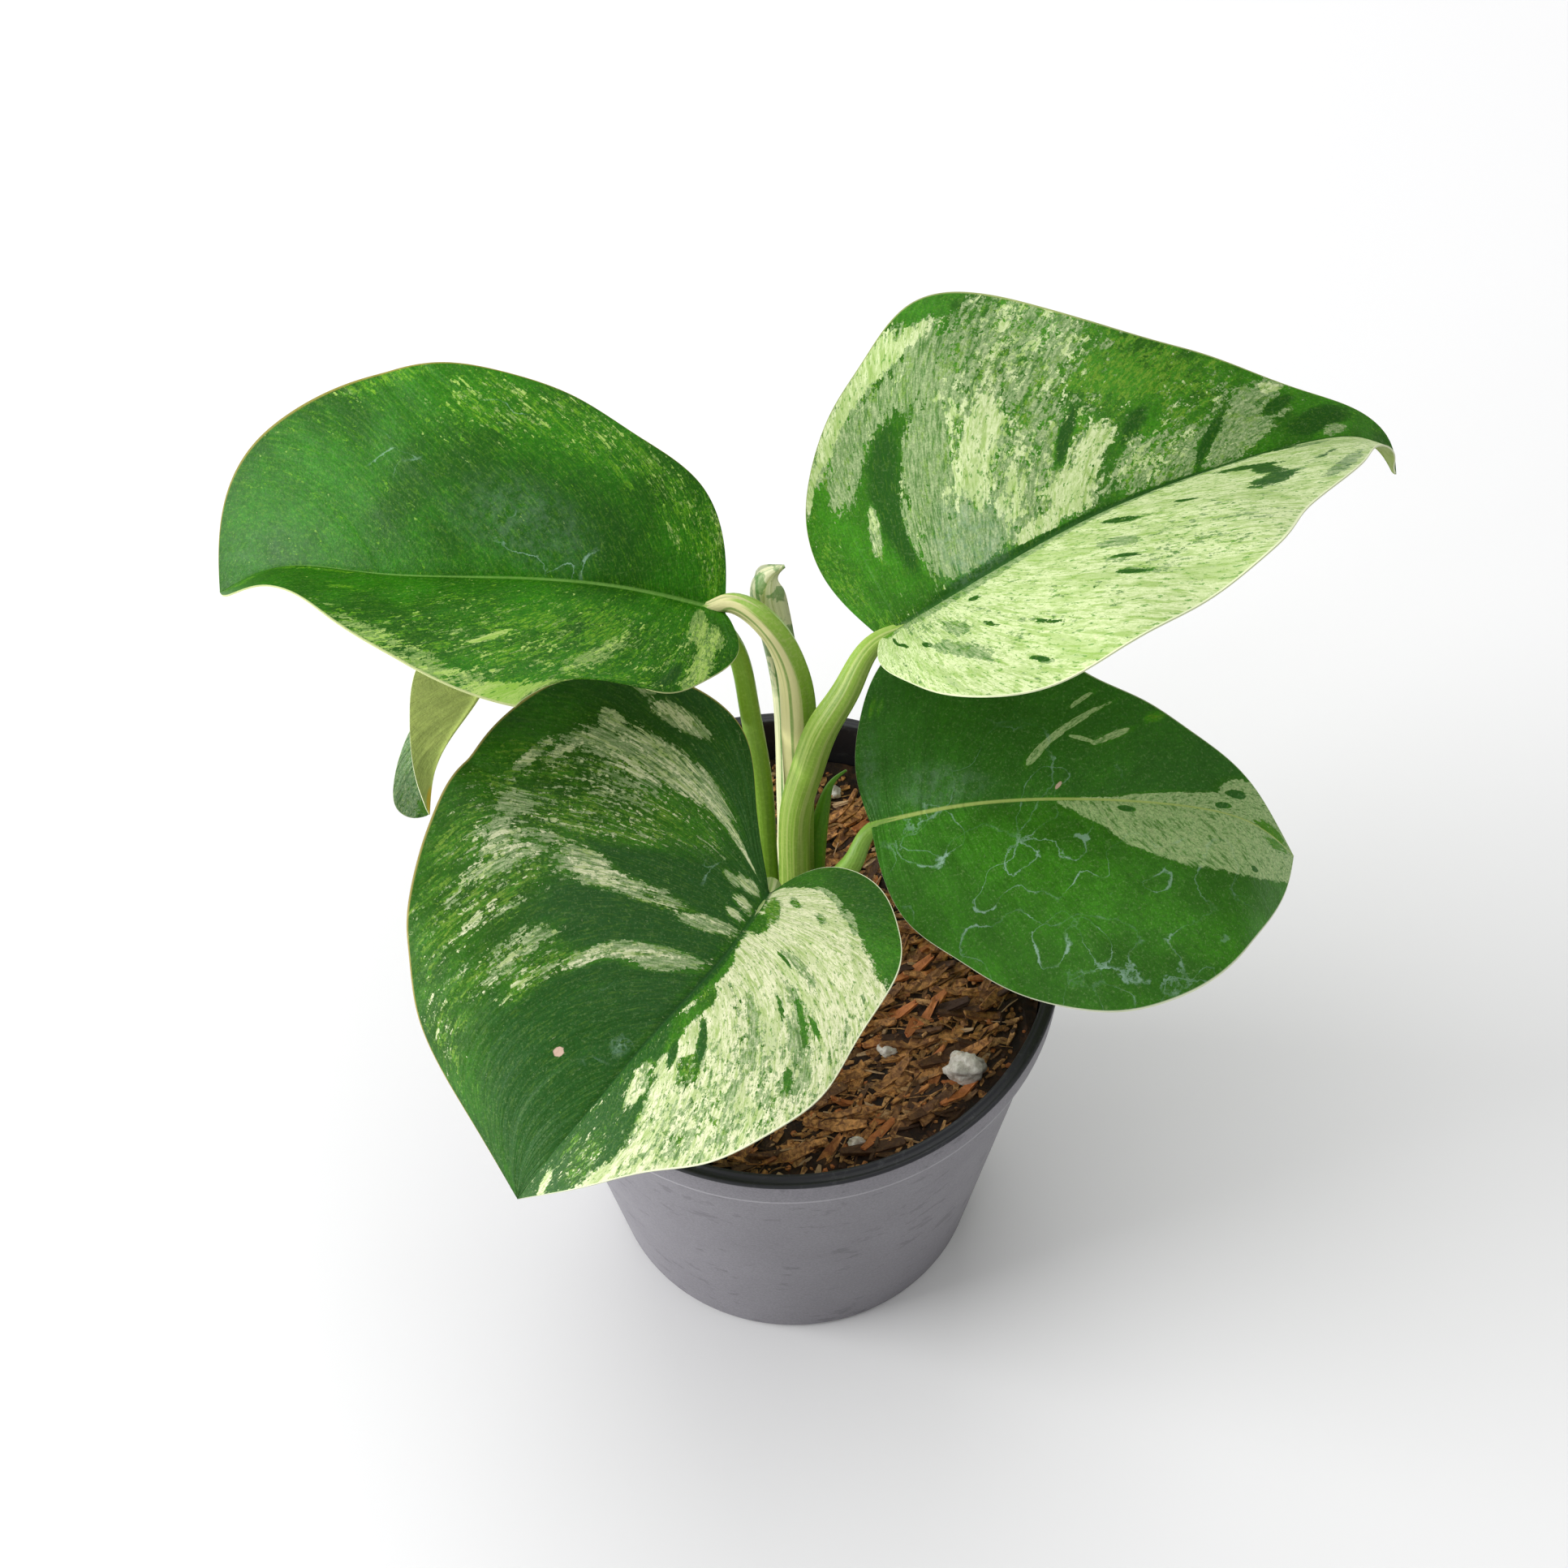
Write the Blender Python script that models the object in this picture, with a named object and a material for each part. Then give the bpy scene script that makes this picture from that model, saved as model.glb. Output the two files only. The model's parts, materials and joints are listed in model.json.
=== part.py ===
"""Potted scindapsus: a heart-leaved variegated aroid standing in a round plastic nursery pot.

Metres, +Z up. The origin is the middle of the pot's underside, and -Y is the front.
"""

import math
import random
from dataclasses import dataclass

import bmesh
import bpy
import numpy as np
from mathutils import Vector, noise

MM = 0.001
FIT_GAP = 0.3

# Pot, in millimetres. A 12 cm nursery pot.
RIM_RADIUS = 60.0
POT_HEIGHT = 107.0
BASE_RADIUS = 42.3
COLLAR_HEIGHT = 9.0
COLLAR_STEP = 2.2
WALL = 1.6
FLOOR = 2.4
LIP_WIDTH = 3.0
RIDGE_WIDTH = 0.7
RIDGE_RISE = 0.5
EDGE_BREAK = 0.5
EDGE_ROUND = 1.6
LEDGE_DROP = 2.0
COLLAR_DRAFT = 0.6
POT_SEGMENTS = 48
DRAIN_HOLES = 6
DRAIN_RADIUS = 4.5
DRAIN_CIRCLE = 29.0
DRAIN_SIDES = 16
CUT_PAST = 2.0

# Soil: bark and coir, level a finger's width under the rim.
SOIL_DEPTH_BELOW_RIM = 13.0
SOIL_RINGS = 16
SOIL_SEGMENTS = 52
CHIP_COUNT = 90
CHIP_RISE = 2.6
CHIP_LEAST = 0.4
CHIP_RADIUS = 4.2
CHIP_SLENDERNESS = 0.5
CHIP_FREE_EDGE = 3.0
SWELL_RISE = 0.6
SWELL_PER_MM = 0.12
SOIL_SEED = 7

# Perlite grains, half sunk in the soil.
GRAIN_SHOWS = 0.5
GRAIN_FLATNESS = 0.85
GRAIN_UNEVENNESS = 0.16
GRAIN_LUMPINESS = 1.7

# Crown: the short stem that the leaf stalks grow from.
CROWN_CENTRE = (2.3, 11.5)
CROWN_RADIUS = 9.4
CROWN_TOP = 97.5
CROWN_LENGTH = 14.0
CROWN_SIDES = 28

# Blades. A side vein leaves the midrib at a slant and bends out to the margin at its knee. The
# ripples are full height a quarter of the midrib's length out from it.
BLADE_THICKNESS = 0.8
VEIN_START = 0.12
KNEE_ALONG = 0.25
KNEE_ACROSS = 0.55
RIPPLE_REACH = 0.25
MARGIN_STEPS = 24
ACROSS_STEPS = 5
MIDRIB_STATIONS = 81

# Leaf stalks, which stand upright on the crown before they lean.
STALK_ROUNDNESS = 2
STALK_STEPS = 18
STALK_FOOT = CROWN_TOP + FIT_GAP
LEAD_IN = 2.5

# Shading: corners sharper than these stay sharp, in degrees.
SHARP_CORNER = 35.0
SHARP_CREASE = 50.0


@dataclass
class Half:
    """One side of a blade: its margin in fractions of the midrib, its fold and its curl.

    The margin runs from the stalk to the tip as (along the midrib, out from it). The fold is
    the rise off the midrib in degrees and the curl the bend down in degrees per centimetre,
    each at the stalk and at the tip. The wave is the ripple's height in millimetres, a
    quarter of the midrib's length out from it, and its count of ripples along the leaf.
    """

    margin: tuple
    fold: tuple
    curl: tuple
    wave: tuple = (0.0, 1.0)


@dataclass
class Leaf:
    """A blade: where its midrib runs in millimetres, how it rolls about it, and its halves."""

    name: str
    midrib: tuple
    roll: tuple
    left: Half
    right: Half
    colour: tuple


@dataclass
class Stalk:
    """A round stem, in millimetres.

    The foot is where it stands on the crown, the line its centre from there on, and the
    radii are at the foot and at each point of the line.
    """

    name: str
    foot: tuple
    line: tuple
    radii: tuple
    colour: tuple


@dataclass
class Lump:
    """A grain of perlite: its middle on the soil and its radius, in millimetres."""

    name: str
    place: tuple
    radius: float


# Colours, and how rough each surface is.
GREEN = (0.045, 0.17, 0.025)
MARBLED = (0.25, 0.36, 0.12)
STALK_GREEN = (0.33, 0.47, 0.14)
PALE_UNDERSIDE = (0.45, 0.52, 0.2)
YOUNG_CREAM = (0.55, 0.6, 0.32)
POT_GREY = (0.33, 0.32, 0.35)
SOIL_BROWN = (0.16, 0.075, 0.03)
CROWN_BROWN = (0.25, 0.22, 0.09)
PERLITE_WHITE = (0.8, 0.78, 0.74)
LEAF_ROUGHNESS = 0.4
STALK_ROUGHNESS = 0.5
POT_ROUGHNESS = 0.55
CROWN_ROUGHNESS = 0.7
PERLITE_ROUGHNESS = 0.9
SOIL_ROUGHNESS = 0.95

LEAVES = (
    Leaf(
        name="leaf_left",
        midrib=((-10.8, 38, 178), (-31, 41, 183), (-58, 45, 182.5), (-86, 52, 176), (-105, 60, 168),
                (-120, 63, 155)),
        roll=(11, 10, 14),
        left=Half(
            margin=((-0.01, 0.1), (0.04, 0.19), (0.11, 0.28), (0.21, 0.33), (0.32, 0.34), (0.42, 0.31),
                    (0.52, 0.25), (0.61, 0.19), (0.70, 0.13), (0.81, 0.09), (0.91, 0.07)),
            fold=(28, 44), curl=(3.4, 3.4), wave=(0.25, 2.2)),
        right=Half(
            margin=((0.03, 0.11), (0.09, 0.2), (0.19, 0.26), (0.29, 0.32), (0.39, 0.36), (0.5, 0.38),
                    (0.61, 0.37), (0.72, 0.335), (0.81, 0.27), (0.875, 0.19), (0.93, 0.1)),
            fold=(26, 30), curl=(2.9, 2.9), wave=(0.2, 2.6)),
        colour=GREEN,
    ),
    Leaf(
        name="leaf_right",
        midrib=((21.3, 30, 178), (41, 38, 186), (66, 50, 191), (94, 64, 188), (114.5, 75.5, 180.5),
                (131, 82.8, 168), (135.5, 82, 159.5)),
        roll=(13, 11, 5),
        left=Half(
            margin=((-0.03, 0.12), (-0.01, 0.23), (0.07, 0.33), (0.16, 0.4), (0.27, 0.44), (0.37, 0.45),
                    (0.46, 0.36), (0.55, 0.265), (0.65, 0.195), (0.74, 0.12), (0.83, 0.055), (0.93, 0.01)),
            fold=(29, 29), curl=(3.5, 3.5), wave=(0.35, 3.4)),
        right=Half(
            margin=((-0.01, 0.11), (0.02, 0.22), (0.07, 0.33), (0.15, 0.4), (0.26, 0.42), (0.37, 0.39),
                    (0.48, 0.34), (0.56, 0.26), (0.66, 0.2), (0.75, 0.14), (0.84, 0.07), (0.93, 0.02)),
            fold=(31, 29), curl=(3.2, 3.2), wave=(0.35, 4.2)),
        colour=MARBLED,
    ),
    Leaf(
        name="leaf_front",
        midrib=((-3.3, -11.3, 146), (-13, -27.4, 147.6), (-27, -43.3, 146), (-40.5, -56, 138),
                (-50, -62.6, 128.5), (-57, -66, 117.5)),
        roll=(3, 2, 2),
        left=Half(
            margin=((-0.09, 0.1), (-0.09, 0.21), (-0.01, 0.31), (0.1, 0.38), (0.23, 0.4), (0.36, 0.43),
                    (0.48, 0.4), (0.59, 0.33), (0.68, 0.23), (0.78, 0.15), (0.89, 0.07)),
            fold=(16, 16), curl=(2.2, 2.2), wave=(0.3, 2.6)),
        right=Half(
            margin=((-0.18, 0.11), (-0.34, 0.24), (-0.35, 0.45), (-0.25, 0.63), (-0.06, 0.73), (0.15, 0.75),
                    (0.36, 0.74), (0.55, 0.65), (0.73, 0.54), (0.88, 0.4), (0.95, 0.2)),
            fold=(18, 17), curl=(1.4, 1.4), wave=(0.12, 3.6)),
        colour=MARBLED,
    ),
    Leaf(
        name="leaf_low",
        midrib=((18.6, 11, 136), (36.6, 12, 140.5), (59.7, 11.4, 143), (83, 11, 140), (99, 11, 132.6),
                (110, 10, 119.5)),
        roll=(-10, -9, -8),
        left=Half(
            margin=((-0.01, 0.12), (0.02, 0.24), (0.07, 0.34), (0.17, 0.42), (0.28, 0.42), (0.38, 0.36),
                    (0.48, 0.28), (0.59, 0.23), (0.69, 0.17), (0.79, 0.1), (0.88, 0.02)),
            fold=(9, 8), curl=(4.1, 4.1), wave=(0.2, 2.4)),
        right=Half(
            margin=((0.01, 0.13), (0.05, 0.25), (0.14, 0.34), (0.25, 0.41), (0.37, 0.46), (0.5, 0.48),
                    (0.62, 0.45), (0.73, 0.39), (0.83, 0.3), (0.92, 0.2), (0.975, 0.1)),
            fold=(9, 10), curl=(4.0, 4.0), wave=(0.2, 2.8)),
        colour=GREEN,
    ),
    Leaf(
        name="leaf_hanging",
        midrib=((-61, 53, 156), (-67, 52.5, 145), (-73, 49, 131), (-77, 44, 115), (-79.5, 39, 100)),
        roll=(190, 185, 180),
        left=Half(
            margin=((-0.04, 0.06), (0.05, 0.12), (0.2, 0.16), (0.4, 0.17), (0.6, 0.18), (0.77, 0.16),
                    (0.92, 0.08)),
            fold=(50, 30), curl=(10, 110)),
        right=Half(
            margin=((-0.04, 0.06), (0.05, 0.13), (0.2, 0.18), (0.4, 0.18), (0.6, 0.13), (0.8, 0.06)),
            fold=(50, 30), curl=(10, 20)),
        colour=PALE_UNDERSIDE,
    ),
)

STALKS = (
    Stalk("petiole_right",
          (2.5, 8.5),
          ((2.5, 9.2, 104), (2.6, 13, 118), (3.4, 17.5, 134), (5.8, 19.3, 145), (10.2, 21.3, 160),
           (15, 24, 168.5), (21, 29.7, 177.3)),
          (2.9, 2.9, 2.8, 2.8, 2.7, 2.5, 2.3, 1.7), STALK_GREEN),
    Stalk("petiole_left",
          (3.4, 14.8),
          ((3.4, 15.8, 104), (3.4, 20.5, 118), (3.6, 25.3, 136), (3.7, 28.4, 149), (3.2, 31, 161),
           (0.6, 33.2, 170.5), (-4.2, 35.6, 175.6), (-10.2, 38, 176.2)),
          (2.7, 2.7, 2.7, 2.7, 2.7, 2.6, 2.3, 2.1, 1.6), STALK_GREEN),
    Stalk("petiole_hanging",
          (-3.4, 11.6),
          ((-3.4, 12.4, 104), (-3.6, 17, 116), (-4.2, 24, 134), (-6.6, 31.5, 155),
           (-10, 38.5, 167), (-22, 46, 172), (-38, 51, 171), (-52, 53.5, 165), (-59.9, 53.8, 158.2)),
          (2.5, 2.5, 2.4, 2.4, 2.3, 2.2, 2.1, 2.0, 1.9, 1.6), STALK_GREEN),
    Stalk("petiole_low",
          (8.4, 10.4),
          ((8.6, 10, 103), (9.6, 8.2, 112), (12.4, 7.3, 122), (15.4, 7.7, 128.4), (18.9, 10.7, 134.5)),
          (2.5, 2.5, 2.4, 2.4, 2.2, 1.6), STALK_GREEN),
    Stalk("petiole_front",
          (-2.6, 5.4),
          ((-2.6, 4.9, 104), (-2.8, 2, 118), (-3, -2.5, 132), (-3.3, -8, 141.4), (-3.9, -11.9, 144.2)),
          (2.5, 2.5, 2.4, 2.3, 2.1, 1.5), STALK_GREEN),
    Stalk("young_leaf",
          (-2.3, 17.4),
          ((-1.6, 20, 106), (0.5, 27, 122), (2, 33.5, 138), (2.3, 38, 152), (1.6, 41.2, 164),
           (0.4, 43.3, 173), (-0.9, 44.8, 181)),
          (2.0, 2.0, 2.1, 2.4, 2.8, 3.2, 2.9, 0.4), YOUNG_CREAM),
    Stalk("sprout",
          (8.0, 17.2),
          ((8.1, 18.5, 103), (8.6, 23, 114), (9.6, 26.5, 122), (11.4, 28.4, 127), (14, 29.4, 129)),
          (1.5, 1.6, 1.6, 1.2, 0.6, 0.3), STALK_GREEN),
)

LUMPS = (
    Lump("perlite_large", (37.8, -26.8), 3.4),
    Lump("perlite_left", (21.0, -21.5), 1.7),
    Lump("perlite_front", (13.5, -44.0), 1.6),
    Lump("perlite_back", (11.4, 45.5), 1.5),
)


def clear_scene():
    """Removes whatever the scene holds."""
    for thing in list(bpy.data.objects):
        bpy.data.objects.remove(thing, do_unlink=True)


def material(name, colour, roughness):
    """A plain surface of one colour, which isn't metal."""
    made = bpy.data.materials.new(name)
    made.use_nodes = True
    surface = made.node_tree.nodes["Principled BSDF"]
    surface.inputs["Base Color"].default_value = (*colour, 1.0)
    surface.inputs["Roughness"].default_value = roughness
    surface.inputs["Metallic"].default_value = 0.0
    return made


def add_object(name, data, surface):
    """Links a mesh or a curve to the scene as a named piece."""
    made = bpy.data.objects.new(name, data)
    if surface:
        data.materials.append(surface)
    bpy.context.scene.collection.objects.link(made)
    return made


def mesh_from(name, corners, faces, surface):
    """A piece from corner points in millimetres."""
    mesh = bpy.data.meshes.new(name)
    mesh.from_pydata([tuple(float(value) * MM for value in corner) for corner in corners], [], faces)
    mesh.validate()
    mesh.update()
    return add_object(name, mesh, surface)


def shade_round(piece, sharp_degrees=SHARP_CORNER):
    """Shades a round piece smooth, and keeps its real corners sharp."""
    piece.data.shade_smooth()
    piece.data.set_sharp_from_angle(angle=math.radians(sharp_degrees))


def apply_modifiers(piece):
    """Turns a piece with modifiers into the plain mesh that they give."""
    graph = bpy.context.evaluated_depsgraph_get()
    shaped = bpy.data.meshes.new_from_object(piece.evaluated_get(graph), depsgraph=graph)
    piece.modifiers.clear()
    piece.data = shaped


def cut(piece, cutters):
    """Takes the cutters out of the piece, then removes them."""
    for cutter in cutters:
        cutter.hide_render = True
        cutter.display_type = "WIRE"
        hole = piece.modifiers.new("Cut", "BOOLEAN")
        hole.operation = "DIFFERENCE"
        hole.object = cutter
    apply_modifiers(piece)
    for cutter in cutters:
        bpy.data.objects.remove(cutter, do_unlink=True)


def cylinder(name, radius, bottom, top, place, sides, surface=None):
    """An upright closed cylinder, in millimetres."""
    mesh = bpy.data.meshes.new(name)
    made = bmesh.new()
    bmesh.ops.create_cone(
        made, cap_ends=True, segments=sides, radius1=radius * MM, radius2=radius * MM,
        depth=(top - bottom) * MM
    )
    middle = Vector((place[0], place[1], (top + bottom) / 2)) * MM
    bmesh.ops.translate(made, verts=made.verts, vec=middle)
    made.to_mesh(mesh)
    made.free()
    return add_object(name, mesh, surface)


def smooth_line(points, count):
    """A natural cubic spline through the points, read at evenly spaced stations."""
    points = np.array(points, float)
    spans = np.linalg.norm(np.diff(points, axis=0), axis=1)
    knots = np.concatenate([[0.0], np.cumsum(spans)])
    last = len(points) - 1
    system = np.zeros((last + 1, last + 1))
    pull = np.zeros(points.shape)
    system[0, 0] = 1.0
    system[last, last] = 1.0
    for i in range(1, last):
        system[i, i - 1 : i + 2] = spans[i - 1], 2 * (spans[i - 1] + spans[i]), spans[i]
        rise = (points[i + 1] - points[i]) / spans[i]
        pull[i] = 6 * (rise - (points[i] - points[i - 1]) / spans[i - 1])
    bends = np.linalg.solve(system, pull)
    stations = np.linspace(0.0, knots[-1], count)
    i = np.clip(np.searchsorted(knots, stations, side="right") - 1, 0, last - 1)
    before = ((knots[i + 1] - stations) / spans[i])[:, None]
    after = 1.0 - before
    curve = (before**3 - before) * bends[i] + (after**3 - after) * bends[i + 1]
    return before * points[i] + after * points[i + 1] + curve * (spans[i] ** 2)[:, None] / 6


def unit(vectors):
    """The vectors at length one."""
    return vectors / np.linalg.norm(vectors, axis=-1, keepdims=True)


def bent_blade(leaf, half, side, along, across):
    """Places flat blade points, in millimetres along and across, on the folded, curled leaf.

    The side is 1 for the left half, seen from above with the tip ahead, and -1 for the right.
    """
    path = smooth_line(leaf.midrib, MIDRIB_STATIONS)
    travelled = np.concatenate([[0.0], np.cumsum(np.linalg.norm(np.diff(path, axis=0), axis=1))])
    headings = np.gradient(path, travelled, axis=0)
    length = travelled[-1]
    station = np.clip(along, 0.0, length)
    foot = np.stack([np.interp(station, travelled, path[:, axis]) for axis in range(3)], -1)
    ahead = unit(np.stack([np.interp(station, travelled, headings[:, axis]) for axis in range(3)], -1))
    foot = foot + ahead * (along - station)[:, None]
    level_up = unit(np.array([0.0, 0.0, 1.0]) - ahead[:, 2:3] * ahead)
    level_left = np.cross(level_up, ahead)
    progress = station / length
    roll = np.radians(np.interp(progress, (0.0, 0.5, 1.0), leaf.roll))[:, None]
    up = np.cos(roll) * level_up + np.sin(roll) * level_left
    left = np.cos(roll) * level_left - np.sin(roll) * level_up
    fold = np.radians(np.interp(progress, (0.0, 1.0), half.fold))
    curl = np.radians(np.interp(progress, (0.0, 1.0), half.curl)) / 10.0
    turn = curl * across / 2
    chord = across * np.sinc(turn / math.pi)
    out = chord * np.cos(fold - turn)
    height, count = half.wave
    reach = across / (RIPPLE_REACH * length)
    ripple = height * reach**2 * np.sin(2 * math.pi * count * along / length)
    rise = chord * np.sin(fold - turn) + ripple
    return foot + side * left * out[:, None] + up * rise[:, None]


def vein_root(s):
    """Where on the midrib, as a fraction, the vein starts that ends at s along the margin."""
    return VEIN_START * s + (1.0 - VEIN_START) * s**3


def half_blade_grid(leaf, half, side):
    """Rows of points from midrib to margin along the veins, from near the stalk to near the tip."""
    path = smooth_line(leaf.midrib, MIDRIB_STATIONS)
    length = np.linalg.norm(np.diff(path, axis=0), axis=1).sum()
    margin = smooth_line(((0.0, 0.0), *half.margin, (1.0, 0.0)), MARGIN_STEPS + 1)
    s = np.linspace(0.0, 1.0, MARGIN_STEPS + 1)[1:-1, None]
    t = np.linspace(0.0, 1.0, ACROSS_STEPS + 1)[None, :]
    root = vein_root(s)
    end_along = margin[1:-1, 0:1]
    end_across = margin[1:-1, 1:2]
    knee_along = root + KNEE_ALONG * (end_along - root)
    knee_across = KNEE_ACROSS * end_across
    along = (1 - t) ** 2 * root + 2 * t * (1 - t) * knee_along + t**2 * end_along
    across = 2 * t * (1 - t) * knee_across + t**2 * end_across
    grid = bent_blade(leaf, half, side, along.ravel() * length, across.ravel() * length)
    return grid.reshape(MARGIN_STEPS - 1, ACROSS_STEPS + 1, 3)


def build_leaf(leaf):
    """A thin waved blade of even thickness, split into triangles alike on both faces."""
    left = half_blade_grid(leaf, leaf.left, 1)
    right = half_blade_grid(leaf, leaf.right, -1)
    rows = MARGIN_STEPS - 1
    wide = 2 * ACROSS_STEPS + 1
    corners = np.concatenate([left[:, ::-1], right[:, 1:]], axis=1).reshape(-1, 3)
    junction = rows * wide
    tip = junction + 1
    corners = np.vstack([corners, leaf.midrib[0], leaf.midrib[-1]])
    faces = []
    for row in range(rows - 1):
        for column in range(wide - 1):
            a = row * wide + column
            b = a + 1
            c = b + wide
            d = a + wide
            if column < ACROSS_STEPS:
                faces += [(a, b, c), (a, c, d)]
            else:
                faces += [(a, b, d), (b, c, d)]
    for column in range(wide - 1):
        faces.append((junction, column + 1, column))
        top = (rows - 1) * wide + column
        faces.append((tip, top, top + 1))
    surface = material(leaf.name, leaf.colour, LEAF_ROUGHNESS)
    piece = mesh_from(leaf.name, corners, faces, surface)
    skin = piece.modifiers.new("Thickness", "SOLIDIFY")
    skin.thickness = BLADE_THICKNESS * MM
    skin.offset = 0.0
    skin.use_even_offset = True
    shade_round(piece, SHARP_CREASE)
    return piece


def build_stalk(stalk):
    """A tapering round stem along a smooth centre line, upright where it leaves the crown."""
    points = [(*stalk.foot, STALK_FOOT + LEAD_IN), *stalk.line]
    rise = smooth_line([(*point, radius) for point, radius in zip(points, stalk.radii)], STALK_STEPS)
    line = [(*stalk.foot, STALK_FOOT, stalk.radii[0]), *rise]
    curve = bpy.data.curves.new(stalk.name, "CURVE")
    curve.dimensions = "3D"
    curve.bevel_depth = MM
    curve.bevel_resolution = STALK_ROUNDNESS
    curve.use_fill_caps = True
    spline = curve.splines.new("POLY")
    spline.points.add(len(line) - 1)
    for point, (x, y, z, radius) in zip(spline.points, line):
        point.co = (x * MM, y * MM, z * MM, 1.0)
        point.radius = radius
    return add_object(stalk.name, curve, material(stalk.name, stalk.colour, STALK_ROUGHNESS))


def pot_profile():
    """The pot's wall as (radius, height): down the outside from the lip, and up the inside."""
    collar_foot = POT_HEIGHT - COLLAR_HEIGHT
    body_top = RIM_RADIUS - COLLAR_STEP
    slope = (body_top - BASE_RADIUS) / collar_foot
    lip_inside = RIM_RADIUS - LIP_WIDTH
    edge_middle = EDGE_ROUND * (1.0 - math.sqrt(0.5))
    outside = (
        (lip_inside, POT_HEIGHT + RIDGE_RISE),
        (lip_inside + RIDGE_WIDTH, POT_HEIGHT + RIDGE_RISE),
        (lip_inside + RIDGE_WIDTH + RIDGE_RISE, POT_HEIGHT),
        (RIM_RADIUS - EDGE_BREAK, POT_HEIGHT),
        (RIM_RADIUS, POT_HEIGHT - EDGE_BREAK),
        (RIM_RADIUS - EDGE_BREAK, collar_foot + EDGE_BREAK),
        (RIM_RADIUS - 2 * EDGE_BREAK, collar_foot),
        (body_top, collar_foot - EDGE_BREAK),
        (BASE_RADIUS + slope * EDGE_ROUND, EDGE_ROUND),
        (BASE_RADIUS - edge_middle, edge_middle),
        (BASE_RADIUS - EDGE_ROUND, 0.0),
        (0.0, 0.0),
    )
    inside = (
        (0.0, FLOOR),
        (BASE_RADIUS - WALL, FLOOR),
        (body_top - WALL, collar_foot - LEDGE_DROP),
        (lip_inside - COLLAR_DRAFT, collar_foot - EDGE_BREAK),
    )
    return outside, inside


def inner_radius(height):
    """The radius of the pot's inside at a height under its collar, in millimetres."""
    inside = pot_profile()[1]
    return float(np.interp(height, [inside[1][1], inside[2][1]], [inside[1][0], inside[2][0]]))


def build_pot():
    """The tapered pot with its collar, lip and drain holes."""
    outside, inside = pot_profile()
    profile = [*outside, *inside]
    mesh = bpy.data.meshes.new("pot")
    ring = [(radius * MM, 0.0, height * MM) for radius, height in profile]
    edges = [(i, i + 1) for i in range(len(ring) - 1)] + [(len(ring) - 1, 0)]
    edges.remove((len(outside) - 1, len(outside)))
    mesh.from_pydata(ring, edges, [])
    pot = add_object("pot", mesh, material("pot", POT_GREY, POT_ROUGHNESS))
    turn = pot.modifiers.new("Turn", "SCREW")
    turn.steps = POT_SEGMENTS
    turn.render_steps = POT_SEGMENTS
    turn.use_merge_vertices = True
    turn.merge_threshold = 0.00001
    apply_modifiers(pot)
    cutters = []
    for hole in range(DRAIN_HOLES):
        angle = 2 * math.pi * hole / DRAIN_HOLES
        place = (DRAIN_CIRCLE * math.cos(angle), DRAIN_CIRCLE * math.sin(angle))
        cutters.append(cylinder("drain", DRAIN_RADIUS, -CUT_PAST, FLOOR + CUT_PAST, place, DRAIN_SIDES))
    cut(pot, cutters)
    shade_round(pot)
    return pot


def soil_height(x, y, chips):
    """The height of the soil's chips above its level, in millimetres."""
    rise = SWELL_RISE * noise.noise(Vector((x, y, 0.0)) * SWELL_PER_MM)
    for chip_x, chip_y, angle, top in chips:
        along = (x - chip_x) * math.cos(angle) + (y - chip_y) * math.sin(angle)
        across = (y - chip_y) * math.cos(angle) - (x - chip_x) * math.sin(angle)
        reach = (along / CHIP_RADIUS) ** 2 + (across / (CHIP_SLENDERNESS * CHIP_RADIUS)) ** 2
        rise = max(rise, top * max(0.0, 1.0 - reach) ** 0.5)
    return rise


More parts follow.
